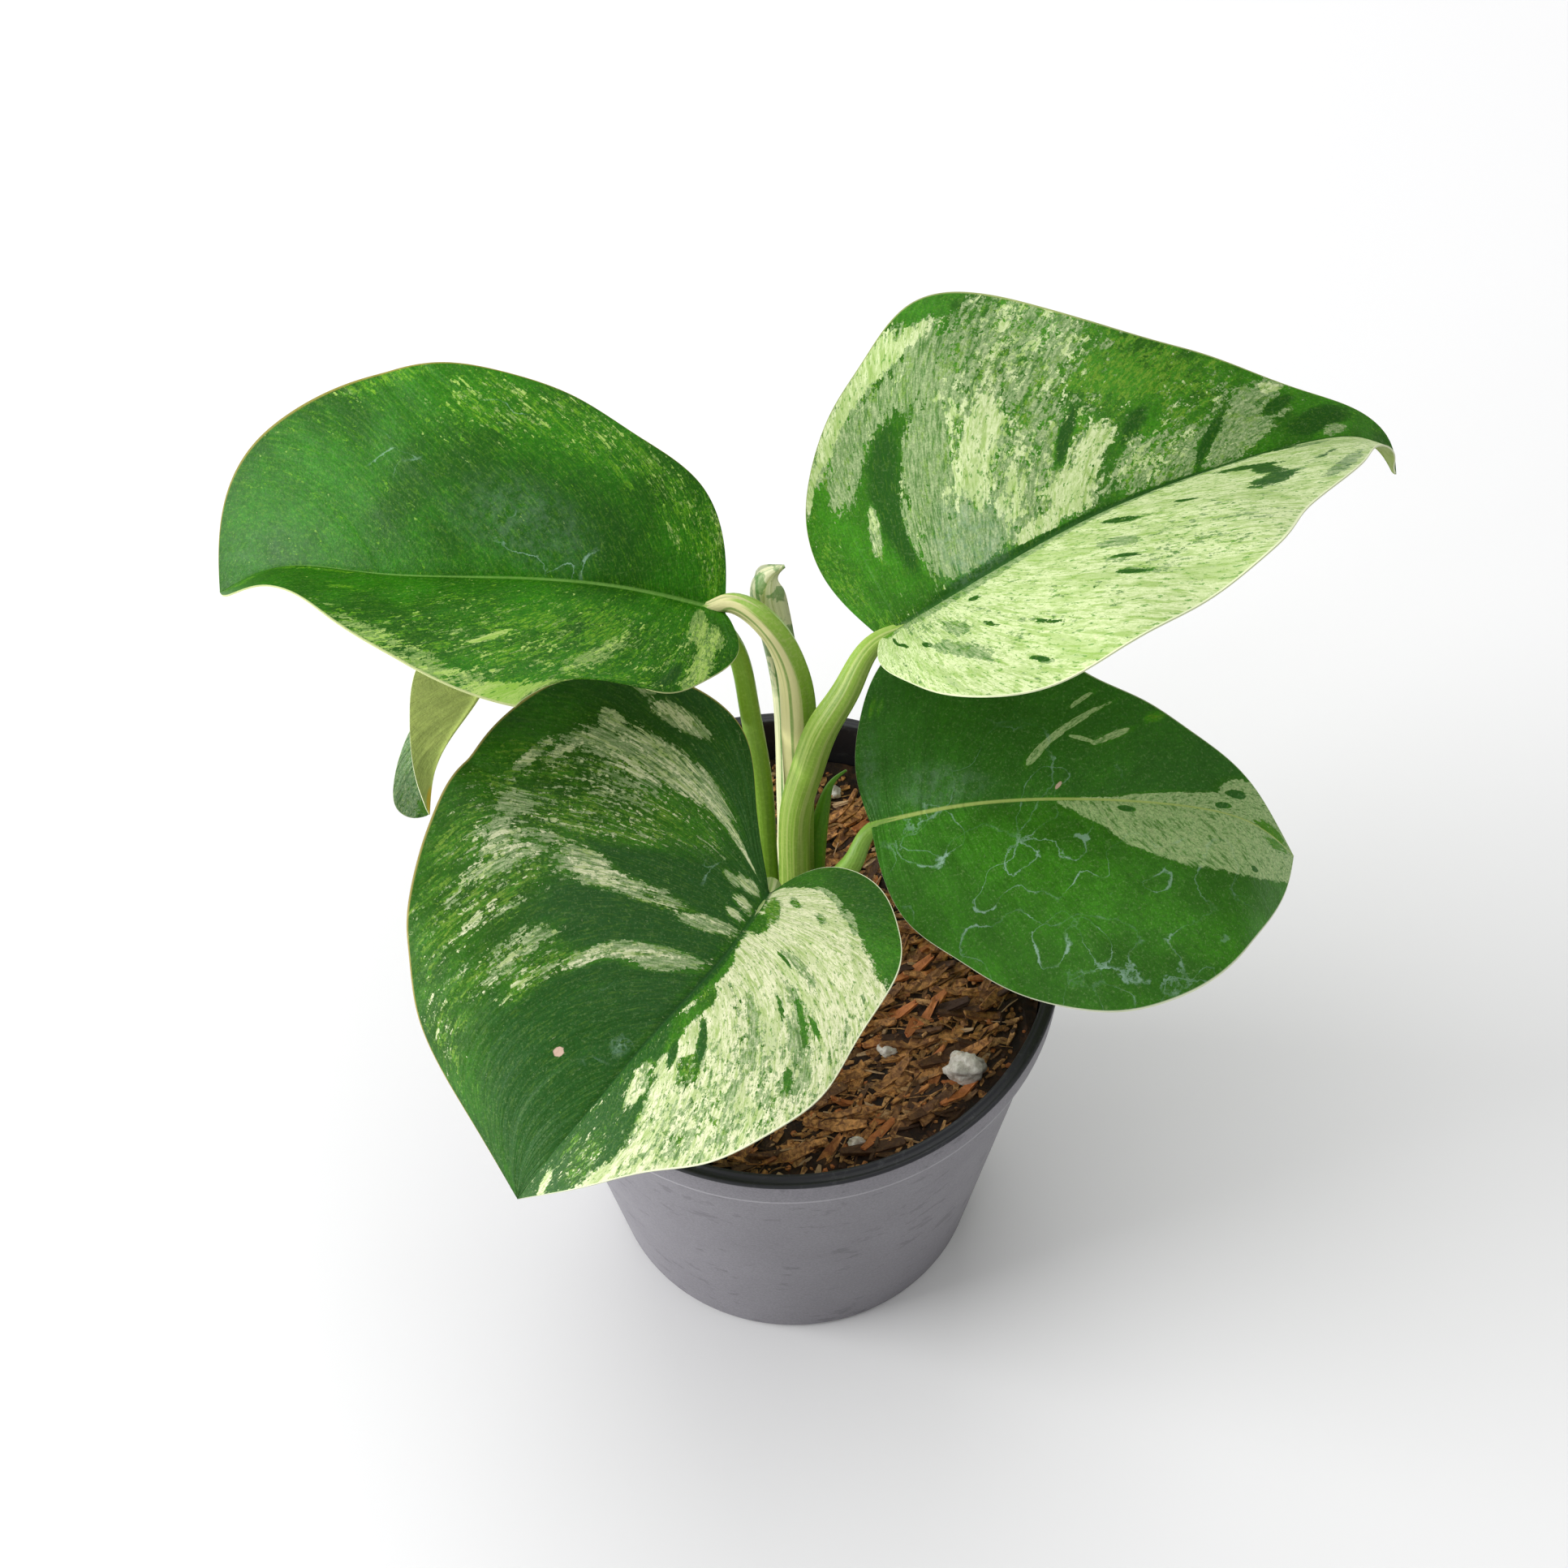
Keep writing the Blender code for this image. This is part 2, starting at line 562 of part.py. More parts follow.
def build_soil():
    """The block of bark and coir that fills the pot, with chips in relief on top."""
    level = POT_HEIGHT - SOIL_DEPTH_BELOW_RIM
    draw = random.Random(SOIL_SEED)
    edge = inner_radius(level) - FIT_GAP
    chips = []
    for _ in range(CHIP_COUNT):
        reach = (edge - CHIP_FREE_EDGE) * math.sqrt(draw.random())
        angle = draw.uniform(0, 2 * math.pi)
        chips.append((reach * math.cos(angle), reach * math.sin(angle), draw.uniform(0, math.pi),
                      CHIP_RISE * draw.uniform(CHIP_LEAST, 1.0)))
    corners = [(0.0, 0.0, level + soil_height(0.0, 0.0, chips))]
    for ring in range(1, SOIL_RINGS + 1):
        reach = edge * ring / SOIL_RINGS
        for step in range(SOIL_SEGMENTS):
            angle = 2 * math.pi * (step + 0.5 * (ring % 2)) / SOIL_SEGMENTS
            x = reach * math.cos(angle)
            y = reach * math.sin(angle)
            rise = 0.0 if ring == SOIL_RINGS else soil_height(x, y, chips)
            corners.append((x, y, level + rise))
    foot = FLOOR + FIT_GAP
    foot_radius = inner_radius(foot) - FIT_GAP
    for step in range(SOIL_SEGMENTS):
        angle = 2 * math.pi * (step + 0.5 * (SOIL_RINGS % 2)) / SOIL_SEGMENTS
        corners.append((foot_radius * math.cos(angle), foot_radius * math.sin(angle), foot))
    faces = []
    for step in range(SOIL_SEGMENTS):
        after = (step + 1) % SOIL_SEGMENTS
        faces.append((0, 1 + step, 1 + after))
        for ring in range(SOIL_RINGS):
            inner = 1 + ring * SOIL_SEGMENTS
            outer = inner + SOIL_SEGMENTS
            a, b, c, d = inner + step, inner + after, outer + step, outer + after
            if ring % 2 == 0:
                faces += [(a, c, b), (b, c, d)]
            else:
                faces += [(a, c, d), (a, d, b)]
    faces.append([1 + SOIL_RINGS * SOIL_SEGMENTS + step for step in reversed(range(SOIL_SEGMENTS))])
    soil = mesh_from("soil", corners, faces, material("soil", SOIL_BROWN, SOIL_ROUGHNESS))
    cutters = [
        cylinder("crown_hole", CROWN_RADIUS + FIT_GAP, CROWN_TOP - CROWN_LENGTH - FIT_GAP,
                 CROWN_TOP + CUT_PAST, CROWN_CENTRE, CROWN_SIDES)
    ]
    for lump in LUMPS:
        cutters.append(lump_mesh(lump, FIT_GAP))
    cut(soil, cutters)
    return soil


def lump_mesh(lump, growth, surface=None):
    """An uneven grain, or the pocket round it when it is grown."""
    mesh = bpy.data.meshes.new(lump.name)
    made = bmesh.new()
    bmesh.ops.create_icosphere(made, subdivisions=2, radius=1.0)
    level = POT_HEIGHT - SOIL_DEPTH_BELOW_RIM
    middle = Vector((lump.place[0], lump.place[1], level + GRAIN_SHOWS * lump.radius))
    for vertex in made.verts:
        bump = 1.0 + GRAIN_UNEVENNESS * noise.noise(vertex.co * GRAIN_LUMPINESS + middle)
        way = vertex.co * (lump.radius * bump + growth)
        vertex.co = (middle + Vector((way.x, way.y, way.z * GRAIN_FLATNESS))) * MM
    made.to_mesh(mesh)
    made.free()
    return add_object(lump.name, mesh, surface)


def build_crown():
    """The short stem, standing in its hole in the soil."""
    crown = cylinder("crown", CROWN_RADIUS, CROWN_TOP - CROWN_LENGTH, CROWN_TOP, CROWN_CENTRE,
                     CROWN_SIDES, material("crown", CROWN_BROWN, CROWN_ROUGHNESS))
    shade_round(crown)
    return crown


def main():
    """Builds every piece of the plant and its pot."""
    clear_scene()
    build_pot()
    build_soil()
    build_crown()
    for lump in LUMPS:
        grain = lump_mesh(lump, 0.0, material(lump.name, PERLITE_WHITE, PERLITE_ROUGHNESS))
        shade_round(grain)
    for stalk in STALKS:
        build_stalk(stalk)
    for leaf in LEAVES:
        build_leaf(leaf)


main()
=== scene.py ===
"""Potted scindapsus: five variegated blades on arching stalks, in a round nursery pot.

The tables give millimetres. The meshes are metres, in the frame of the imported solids, where
the origin is the middle of the pot's underside, +Z is up and -Y is the front.
"""

import json
import logging
import math
import random
from collections.abc import Callable, Sequence
from dataclasses import dataclass
from enum import Enum

import bmesh
import bpy
import numpy as np
from mathutils import Matrix, Vector, noise
from mathutils.bvhtree import BVHTree

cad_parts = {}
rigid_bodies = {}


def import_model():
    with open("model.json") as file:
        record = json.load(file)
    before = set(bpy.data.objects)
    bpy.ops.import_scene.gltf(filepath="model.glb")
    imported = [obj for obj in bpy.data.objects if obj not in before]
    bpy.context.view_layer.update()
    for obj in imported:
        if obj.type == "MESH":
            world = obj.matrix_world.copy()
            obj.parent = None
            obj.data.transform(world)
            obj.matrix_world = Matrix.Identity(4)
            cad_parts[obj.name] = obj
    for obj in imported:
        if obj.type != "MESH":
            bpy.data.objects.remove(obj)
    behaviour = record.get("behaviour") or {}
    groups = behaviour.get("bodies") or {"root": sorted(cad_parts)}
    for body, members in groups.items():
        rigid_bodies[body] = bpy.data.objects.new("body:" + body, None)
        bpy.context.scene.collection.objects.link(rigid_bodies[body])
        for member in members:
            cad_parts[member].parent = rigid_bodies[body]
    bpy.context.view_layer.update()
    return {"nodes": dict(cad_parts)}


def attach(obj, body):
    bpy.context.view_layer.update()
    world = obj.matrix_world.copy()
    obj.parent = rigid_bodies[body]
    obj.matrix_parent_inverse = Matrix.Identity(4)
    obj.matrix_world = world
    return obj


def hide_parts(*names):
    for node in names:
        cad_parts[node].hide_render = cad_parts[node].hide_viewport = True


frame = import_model()
LOG = logging.getLogger("scindapsus")
MM = 0.001
TINY = 1e-12
BODY = "root"
Colour = tuple[float, float, float]
Point = tuple[float, ...]


# Nodes and maths

# The places of the Mix node's colour sockets.
MIX_FIRST, MIX_SECOND, MIX_RESULT = 6, 7, 2


class Flow:
    """A socket of a node tree that maths can be written with."""

    def __init__(self, graph: "Graph", socket: bpy.types.NodeSocket) -> None:
        """Keeps the graph and the output socket that the flow comes from."""
        self.graph = graph
        self.socket = socket

    def other(self, name: str) -> "Flow":
        """Another output of the same node."""
        return Flow(self.graph, self.socket.node.outputs[name])

    def __add__(self, other: "Flow | float") -> "Flow":
        """This value plus another."""
        return self.graph.maths("ADD", self, other)

    def __radd__(self, other: float) -> "Flow":
        """A number plus this value."""
        return self.graph.maths("ADD", other, self)

    def __sub__(self, other: "Flow | float") -> "Flow":
        """This value minus another."""
        return self.graph.maths("SUBTRACT", self, other)

    def __rsub__(self, other: float) -> "Flow":
        """A number minus this value."""
        return self.graph.maths("SUBTRACT", other, self)

    def __mul__(self, other: "Flow | float") -> "Flow":
        """This value times another."""
        return self.graph.maths("MULTIPLY", self, other)

    def __rmul__(self, other: float) -> "Flow":
        """A number times this value."""
        return self.graph.maths("MULTIPLY", other, self)


class Graph:
    """Adds nodes to a shader or geometry tree, and links them."""

    def __init__(self, tree: bpy.types.NodeTree) -> None:
        """Keeps the tree."""
        self.tree = tree

    def feed(self, socket: bpy.types.NodeSocket, value: object) -> None:
        """Links a flow to a socket, or sets the socket to a value.

        Args:
            socket: The input socket.
            value: A flow, or a number, text, vector or colour. A colour may leave out its alpha.
        """
        if isinstance(value, Flow):
            self.tree.links.new(value.socket, socket)
        elif socket.type == "RGBA" and len(value) == 3:
            socket.default_value = (*value, 1.0)
        else:
            socket.default_value = value

    def node(self, kind: str, sockets: dict | None = None, output: int | str = 0, **settings: object) -> Flow:
        """Adds any node.

        Args:
            kind: The node's type.
            sockets: What each input socket is given, by name or number.
            output: The output that is returned, by name or number.
            settings: The node's own settings, which are set first.

        Returns:
            The flow from that output.
        """
        made = self.tree.nodes.new(kind)
        for name, value in settings.items():
            setattr(made, name, value)
        for key, value in (sockets or {}).items():
            self.feed(made.inputs[key], value)
        return Flow(self, made.outputs[output])

    def maths(self, operation: str, first: "Flow | float", second: "Flow | float" = 0.0) -> Flow:
        """A Math node on one or two values."""
        return self.node("ShaderNodeMath", {0: first, 1: second}, operation=operation)

    def vector(self, x: "Flow | float", y: "Flow | float", z: "Flow | float") -> Flow:
        """Three values as one vector."""
        return self.node("ShaderNodeCombineXYZ", {0: x, 1: y, 2: z})

    def parts(self, vector: Flow) -> tuple[Flow, Flow, Flow]:
        """The three values of a vector or a colour."""
        x = self.node("ShaderNodeSeparateXYZ", {0: vector})
        return x, x.other("Y"), x.other("Z")

    def smooth(self, value: Flow, low: float, high: float) -> Flow:
        """A soft step from 0 where the value is low to 1 where it is high."""
        return self.node("ShaderNodeMapRange", {0: value, 1: low, 2: high}, interpolation_type="SMOOTHSTEP")

    def spread(self, value: Flow, low: float, high: float) -> Flow:
        """The value stretched so that low becomes 0 and high becomes 1."""
        return self.node("ShaderNodeMapRange", {0: value, 1: low, 2: high})

    def mix(self, share: Flow | float, first: Flow | Colour, second: Flow | Colour) -> Flow:
        """One colour turned into another by a share."""
        sockets = {0: share, MIX_FIRST: first, MIX_SECOND: second}
        return self.node("ShaderNodeMix", sockets, MIX_RESULT, data_type="RGBA")

    def wash(self, colour: Flow, *layers: tuple) -> Flow:
        """Lays tones over a colour, one after another.

        Args:
            colour: The colour.
            layers: For each tone the field that it follows, where in that it starts to show and
                where it shows fully, how strong it then is, and the tone.

        Returns:
            The new colour.
        """
        for field, low, high, share, tone in layers:
            colour = self.mix(self.smooth(field, low, high) * share, colour, tone)
        return colour

    def noise(self, place: Flow, scale: float, detail: float = 3.0, roughness: float = 0.6,
              distortion: float = 0.0) -> Flow:
        """Fractal noise from 0 to 1.

        Args:
            place: Where the noise is read.
            scale: How many features fit in one unit of place.
            detail: How many finer layers are added.
            roughness: How strong the finer layers are.
            distortion: How much the noise is stirred.

        Returns:
            The noise.
        """
        return self.node("ShaderNodeTexNoise", {
            "Vector": place, "Scale": scale, "Detail": detail, "Roughness": roughness, "Distortion": distortion})


class Skin(Graph):
    """A material and the Principled shader that its nodes feed."""

    def __init__(self, name: str) -> None:
        """Makes the material.

        Args:
            name: The material's name.
        """
        self.material = bpy.data.materials.new(name)
        self.material.use_nodes = True
        super().__init__(self.material.node_tree)
        self.shader = self.tree.nodes["Principled BSDF"]

    def coat(self, **values: object) -> None:
        """Gives the shader's sockets their values, with spaces written as underscores."""
        for name, value in values.items():
            self.feed(self.shader.inputs[name.replace("_", " ")], value)

    def place(self) -> Flow:
        """Where a point of the piece is, in metres."""
        return self.node("ShaderNodeTexCoord", output="Object")

    def attribute(self, name: str, output: str = "Color") -> Flow:
        """A value that the mesh carries."""
        return self.node("ShaderNodeAttribute", output=output, attribute_name=name)

    def streaks(self, vein: tuple[Flow, Flow], count: Point, seed: float, detail: float, roughness: float,
                distortion: float = 0.0) -> Flow:
        """Noise drawn out along the veins of a blade.

        Args:
            vein: The place along the margin and out from the midrib.
            count: How many features there are along the margin and out from the midrib.
            seed: Which slice of the noise is read.
            detail: How many finer layers are added.
            roughness: How strong the finer layers are.
            distortion: How much the noise is stirred.

        Returns:
            The noise from 0 to 1.
        """
        place = self.vector(vein[0] * count[0], vein[1] * count[1], seed)
        return self.noise(place, 1.0, detail, roughness, distortion)

    def relief(self, height: Flow, depth: float, strength: float = 1.0) -> None:
        """Bumps the surface.

        Args:
            height: The height from 0 to 1.
            depth: How deep 1 is, in metres.
            strength: How much of the relief is used.
        """
        bump = self.node("ShaderNodeBump", {"Height": height, "Distance": depth, "Strength": strength})
        self.coat(Normal=bump)


class Recipe(Graph):
    """A geometry node tree with named inputs, which turns a plain source into a piece."""

    def __init__(self, name: str) -> None:
        """Makes an empty tree.

        Args:
            name: The tree's name.
        """
        super().__init__(bpy.data.node_groups.new(name, "GeometryNodeTree"))
        self.sockets: dict[str, str] = {}
        for way in ("INPUT", "OUTPUT"):
            self.tree.interface.new_socket("Geometry", in_out=way, socket_type="NodeSocketGeometry")
        self.entry = self.tree.nodes.new("NodeGroupInput")
        self.exit = self.tree.nodes.new("NodeGroupOutput")

    def source(self) -> Flow:
        """The geometry that the recipe starts from."""
        return Flow(self, self.entry.outputs["Geometry"])

    def ask(self, **kinds: str) -> list[Flow]:
        """Adds named inputs, with spaces written as underscores.

        Args:
            kinds: The kind of socket of each, such as Float.

        Returns:
            The flow from each.
        """
        flows = []
        for key, kind in kinds.items():
            name = key.replace("_", " ")
            socket = self.tree.interface.new_socket(name, in_out="INPUT", socket_type=f"NodeSocket{kind}")
            self.sockets[key] = socket.identifier
            flows.append(Flow(self, self.entry.outputs[name]))
        return flows

    def keep(self, shape: Flow, name: str, value: Flow, kind: str = "FLOAT", domain: str = "POINT") -> Flow:
        """Stores a value on the shape, for its material to read.

        Args:
            shape: The geometry.
            name: The attribute's name.
            value: What is stored.
            kind: The attribute's type.
            domain: What each value belongs to.

        Returns:
            The geometry with the attribute.
        """
        return self.node("GeometryNodeStoreNamedAttribute", {"Geometry": shape, "Name": name, "Value": value},
                         data_type=kind, domain=domain)

    def close(self, shape: Flow, surface: Flow) -> None:
        """Ends the tree: instances are made real and the material is set.

        Args:
            shape: The finished geometry.
            surface: The material.
        """
        real = self.node("GeometryNodeRealizeInstances", {0: shape})
        coated = self.node("GeometryNodeSetMaterial", {"Geometry": real, "Material": surface})
        self.tree.links.new(coated.socket, self.exit.inputs[0])

    def make(self, name: str, source: bpy.types.Object, **values: object) -> bpy.types.Object:
        """Runs the recipe on a source, which is used up, and returns a plain mesh piece.

        Args:
            name: The piece's name.
            source: The object that the recipe starts from.
            values: What each named input is given, with spaces written as underscores.

        Returns:
            The piece.
        """
        modifier = source.modifiers.new("Recipe", "NODES")
        modifier.node_group = self.tree
        for key, value in values.items():
            modifier[self.sockets[key]] = value
        bpy.context.view_layer.update()
        graph = bpy.context.evaluated_depsgraph_get()
        mesh = bpy.data.meshes.new_from_object(source.evaluated_get(graph), preserve_all_data_layers=True,
                                               depsgraph=graph)
        bpy.data.objects.remove(source, do_unlink=True)
        mesh.name = name
        return add_object(name, mesh)


# Meshes and lines


def add_object(name: str, data: bpy.types.ID) -> bpy.types.Object:
    """Links a mesh, lamp or camera to the scene.

    Args:
        name: The object's name.
        data: The mesh, lamp or camera.

    Returns:
        The object.
    """
    made = bpy.data.objects.new(name, data)
    bpy.context.scene.collection.objects.link(made)
    return made


def harden(name: str, made: bmesh.types.BMesh) -> bpy.types.Mesh:
    """Turns an editable mesh into a plain one, and uses it up.

    Args:
        name: The mesh's name.
        made: The editable mesh.

    Returns:
        The plain mesh.
    """
    mesh = bpy.data.meshes.new(name)
    made.to_mesh(mesh)
    made.free()
    return mesh


def join_rings(made: bmesh.types.BMesh, rings: list[list[bmesh.types.BMVert]]) -> None:
    """Joins each closed ring of points to the next with faces.

    Args:
        made: The mesh that the rings are in.
        rings: The rings, each with as many points.
    """
    for first, second in zip(rings, rings[1:]):
        for step in range(len(first)):
            after = (step + 1) % len(first)
            made.faces.new((first[step], first[after], second[after], second[step]))


def store(mesh: bpy.types.Mesh, name: str, values: object, kind: str = "FLOAT") -> None:
    """Gives each point of a mesh a value, for its material or its recipe to read.

    Args:
        mesh: The mesh.
        name: The attribute's name.
        values: The values, point by point.
        kind: The attribute's type.
    """
    key = {"FLOAT": "value", "FLOAT_VECTOR": "vector", "FLOAT_COLOR": "color"}[kind]
    mesh.attributes.new(name, kind, "POINT").data.foreach_set(key, np.ravel(np.asarray(values, np.float32)))


def shade(colour: Colour, factor: float) -> Colour:
    """The colour, lighter or darker."""
    return tuple(value * factor for value in colour)


def between(first: Colour, second: Colour, share: float) -> Colour:
    """The colour a share of the way from one to another."""
    return tuple((1.0 - share) * a + share * b for a, b in zip(first, second))


def polyline(name: str, points: Sequence[Point], girths: np.ndarray | None = None) -> bpy.types.Object:
    """A chain of edges for a recipe to start from.

    Args:
        name: The object's name.
        points: The points, in millimetres.
        girths: The radius at each point, in millimetres.

    Returns:
        The object.
    """
    mesh = bpy.data.meshes.new(name)
    mesh.from_pydata((np.asarray(points, float) * MM).tolist(), [(i, i + 1) for i in range(len(points) - 1)], [])
    if girths is not None:
        store(mesh, "girth", girths)
    return add_object(name, mesh)


def smooth_line(points: Sequence[Point], count: int) -> np.ndarray:
    """A natural cubic spline through points, read at evenly spaced stations.

    Args:
        points: The points, in any number of dimensions.
        count: How many stations are read.

    Returns:
        The stations.
    """
    points = np.array(points, float)
    spans = np.linalg.norm(np.diff(points, axis=0), axis=1)
    knots = np.concatenate([[0.0], np.cumsum(spans)])
    last = len(points) - 1
    system = np.zeros((last + 1, last + 1))
    pull = np.zeros(points.shape)
    system[0, 0] = 1.0
    system[last, last] = 1.0
    for i in range(1, last):
        system[i, i - 1 : i + 2] = spans[i - 1], 2 * (spans[i - 1] + spans[i]), spans[i]
        rise = (points[i + 1] - points[i]) / spans[i]
        pull[i] = 6 * (rise - (points[i] - points[i - 1]) / spans[i - 1])
    bends = np.linalg.solve(system, pull)
    stations = np.linspace(0.0, knots[-1], count)
    i = np.clip(np.searchsorted(knots, stations, side="right") - 1, 0, last - 1)
    before = ((knots[i + 1] - stations) / spans[i])[:, None]
    after = 1.0 - before
    curve = (before**3 - before) * bends[i] + (after**3 - after) * bends[i + 1]
    return before * points[i] + after * points[i + 1] + curve * (spans[i] ** 2)[:, None] / 6


def unit(vectors: np.ndarray) -> np.ndarray:
    """The vectors at length one."""
    return vectors / np.maximum(np.linalg.norm(vectors, axis=-1, keepdims=True), TINY)


def settle(piece: bpy.types.Object, slot: str, *nodes: str) -> bpy.types.Object:
    """Ties a finished piece to the frame and reports it.

    Args:
        piece: The piece.
        slot: The material slot of the record that its finish belongs to. It is not used.
        nodes: The solids that it stands for.

    Returns:
        The piece.
    """
    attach(piece, BODY)
    if nodes:
        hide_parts(*nodes)
    LOG.info("%s: %d faces", piece.name, len(piece.data.polygons))
    return piece


# Leaf markings


class Tissue(Enum):
    """How much cream, sage and lime tissue an area shows, and how deep its green is."""

    GREEN = (0.0, 0.03, 0.16, 0.05)
    DEEP = (0.0, 0.02, 0.03, 1.0)
    LIME = (0.06, 0.15, 0.75, 0.0)
    SAGE = (0.12, 0.84, 0.35, 0.0)
    CREAM = (0.84, 0.80, 0.55, 0.0)
    PALE = (0.52, 0.86, 0.40, 0.0)
    MOTTLED = (0.38, 0.60, 0.45, 0.15)
    FLECKED = (0.27, 0.33, 0.50, 0.2)


class Veil(Enum):
    """What lies on a blade: outlines of dried water, a painted sheen for light reflected off the waxy face, and
    scars.
    """

    STAIN = (1.0, 0.0, 0.0)
    # A painted sheen: a pale veil laid into the colour where light reflects off the blade.
    HAZE = (0.0, 1.0, 0.0)
    SCAR = (0.0, 0.0, 1.0)


# How far a patch reaches, and over what stretch of that it fades, in its half sizes.
PATCH_REACH, PATCH_FADE = 1.38, 0.76


@dataclass(frozen=True)
class Patch:
    """A patch that runs along a vein, and fades out at its edge.

    The place is s, from the stalk to the tip along the margin, and v, from the midrib to the
    margin, above 0 on the left half. The half sizes along both are ds and dv. The lean is how
    far s moves as v goes out by one, and the level how much the middle is covered.
    """

    kind: Tissue | Veil
    s: float
    v: float
    ds: float
    dv: float
    lean: float = 0.0
    level: float = 1.0

    def cover(self, s: np.ndarray, v: np.ndarray) -> np.ndarray:
        """How much of each point the patch covers.

        Args:
            s: The points' places along the margin.
            v: The points' places out from the midrib.

        Returns:
            The cover from 0 to the patch's level.
        """
        along = (s - self.s - self.lean * (np.abs(v) - abs(self.v))) / self.ds
        out = (v - self.v) / self.dv
        return np.clip((PATCH_REACH - np.hypot(along, out)) / PATCH_FADE, 0.0, 1.0) * self.level


def patches(kind: Tissue | Veil, *rows: Point) -> tuple[Patch, ...]:
    """Patches of one kind, from rows of s, v, ds and dv, with lean and level where they aren't plain."""
    return tuple(Patch(kind, *row) for row in rows)


@dataclass(frozen=True)
class Sector:
    """An area inside an outline of (s, v) corners.

    The stretch is how much longer a step in s counts than one in v, and soft is how wide the
    edge is.
    """

    kind: Tissue | Veil
    outline: tuple[Point, ...]
    level: float = 1.0
    stretch: float = 4.0
    soft: float = 0.09

    def cover(self, s: np.ndarray, v: np.ndarray) -> np.ndarray:
        """How much of each point the sector covers.

        Args:
            s: The points' places along the margin.
            v: The points' places out from the midrib.

        Returns:
            The cover from 0 to the sector's level.
        """
        inside = np.zeros(s.shape, bool)
        gap = np.full(s.shape, np.inf)
        for (s0, v0), (s1, v1) in zip(self.outline, self.outline[1:] + self.outline[:1]):
            rise = v1 - v0
            crosses = (v0 > v) != (v1 > v)
            inside ^= crosses & (s < s0 + (v - v0) / (rise or TINY) * (s1 - s0))
            run = (s1 - s0) * self.stretch
            x = (s - s0) * self.stretch
            share = np.clip((x * run + (v - v0) * rise) / (run**2 + rise**2), 0.0, 1.0)
            gap = np.minimum(gap, np.hypot(x - share * run, v - v0 - share * rise))
        return np.clip(0.5 + np.where(inside, gap, -gap) / self.soft, 0.0, 1.0) * self.level


GREEN, DEEP, LIME, SAGE, CREAM, PALE, MOTTLED, FLECKED = Tissue
STAIN, HAZE, SCAR = Veil
LEFT_HALF = ((-0.1, 0.0), (1.1, 0.0), (1.1, 1.1), (-0.1, 1.1))
RIGHT_HALF = ((-0.1, 0.0), (1.1, 0.0), (1.1, -1.1), (-0.1, -1.1))

# In each table, later marks lie over earlier ones.
LEFT_MARKS = (
    Patch(DEEP, 0.6, -0.3, 0.2, 0.3, 0.0, 0.5),
    Patch(FLECKED, 0.42, 0.62, 0.3, 0.5, 0.0, 0.75),
    *patches(PALE, (0.15, 0.52, 0.045, 0.22, 0.05), (0.175, 0.85, 0.032, 0.2), (0.215, 0.27, 0.045, 0.17, -0.1)),
    Patch(SAGE, 0.24, 0.12, 0.03, 0.07),
    Patch(DEEP, 0.245, 0.72, 0.02, 0.12),
    *patches(MOTTLED, (0.42, 0.57, 0.022, 0.22), (0.55, 0.96, 0.17, 0.06)),
    Patch(LIME, 0.45, 0.38, 0.025, 0.12),
    Patch(FLECKED, 0.505, 0.6, 0.03, 0.16),
    *patches(LIME, (0.48, 0.28, 0.04, 0.1, 0.0, 0.7), (0.55, 0.48, 0.03, 0.12, 0.0, 0.7), (0.8, 0.65, 0.01, 0.09),
        (0.89, 0.14, 0.05, 0.07, 0.0, 0.7), (0.96, 0.6, 0.03, 0.4, 0.0, 0.6), (0.17, -0.26, 0.08, 0.24, 0.0, 0.8),
        (0.14, -0.6, 0.06, 0.3, 0.0, 0.6), (0.27, -0.55, 0.02, 0.07), (0.4, -0.53, 0.012, 0.06)),
    *patches(CREAM, (0.56, 0.67, 0.006, 0.09), (0.43, 0.94, 0.05, 0.06)),
    *patches(FLECKED, (0.19, -0.32, 0.035, 0.16, 0.0, 0.9), (0.33, -0.3, 0.022, 0.08)),
    Patch(MOTTLED, 0.12, -0.78, 0.035, 0.26, 0.0, 0.7),
    *patches(FLECKED, (0.42, -0.76, 0.2, 0.2, 0.0, 0.85), (0.25, -0.55, 0.12, 0.35, 0.0, 0.6)),
    Patch(LIME, 0.62, -0.97, 0.08, 0.04, 0.0, 0.7),
    # Painted sheen: pale veils where light reflects off the blade.
    *patches(HAZE, (0.62, -0.25, 0.08, 0.2, 0.0, 0.3), (0.95, -0.45, 0.06, 0.4, 0.0, 0.15)),
    *patches(STAIN, (0.61, -0.16, 0.06, 0.12), (0.72, -0.66, 0.03, 0.1, 0.0, 0.6),
        (0.5, -0.72, 0.04, 0.08, 0.0, 0.6)),
)

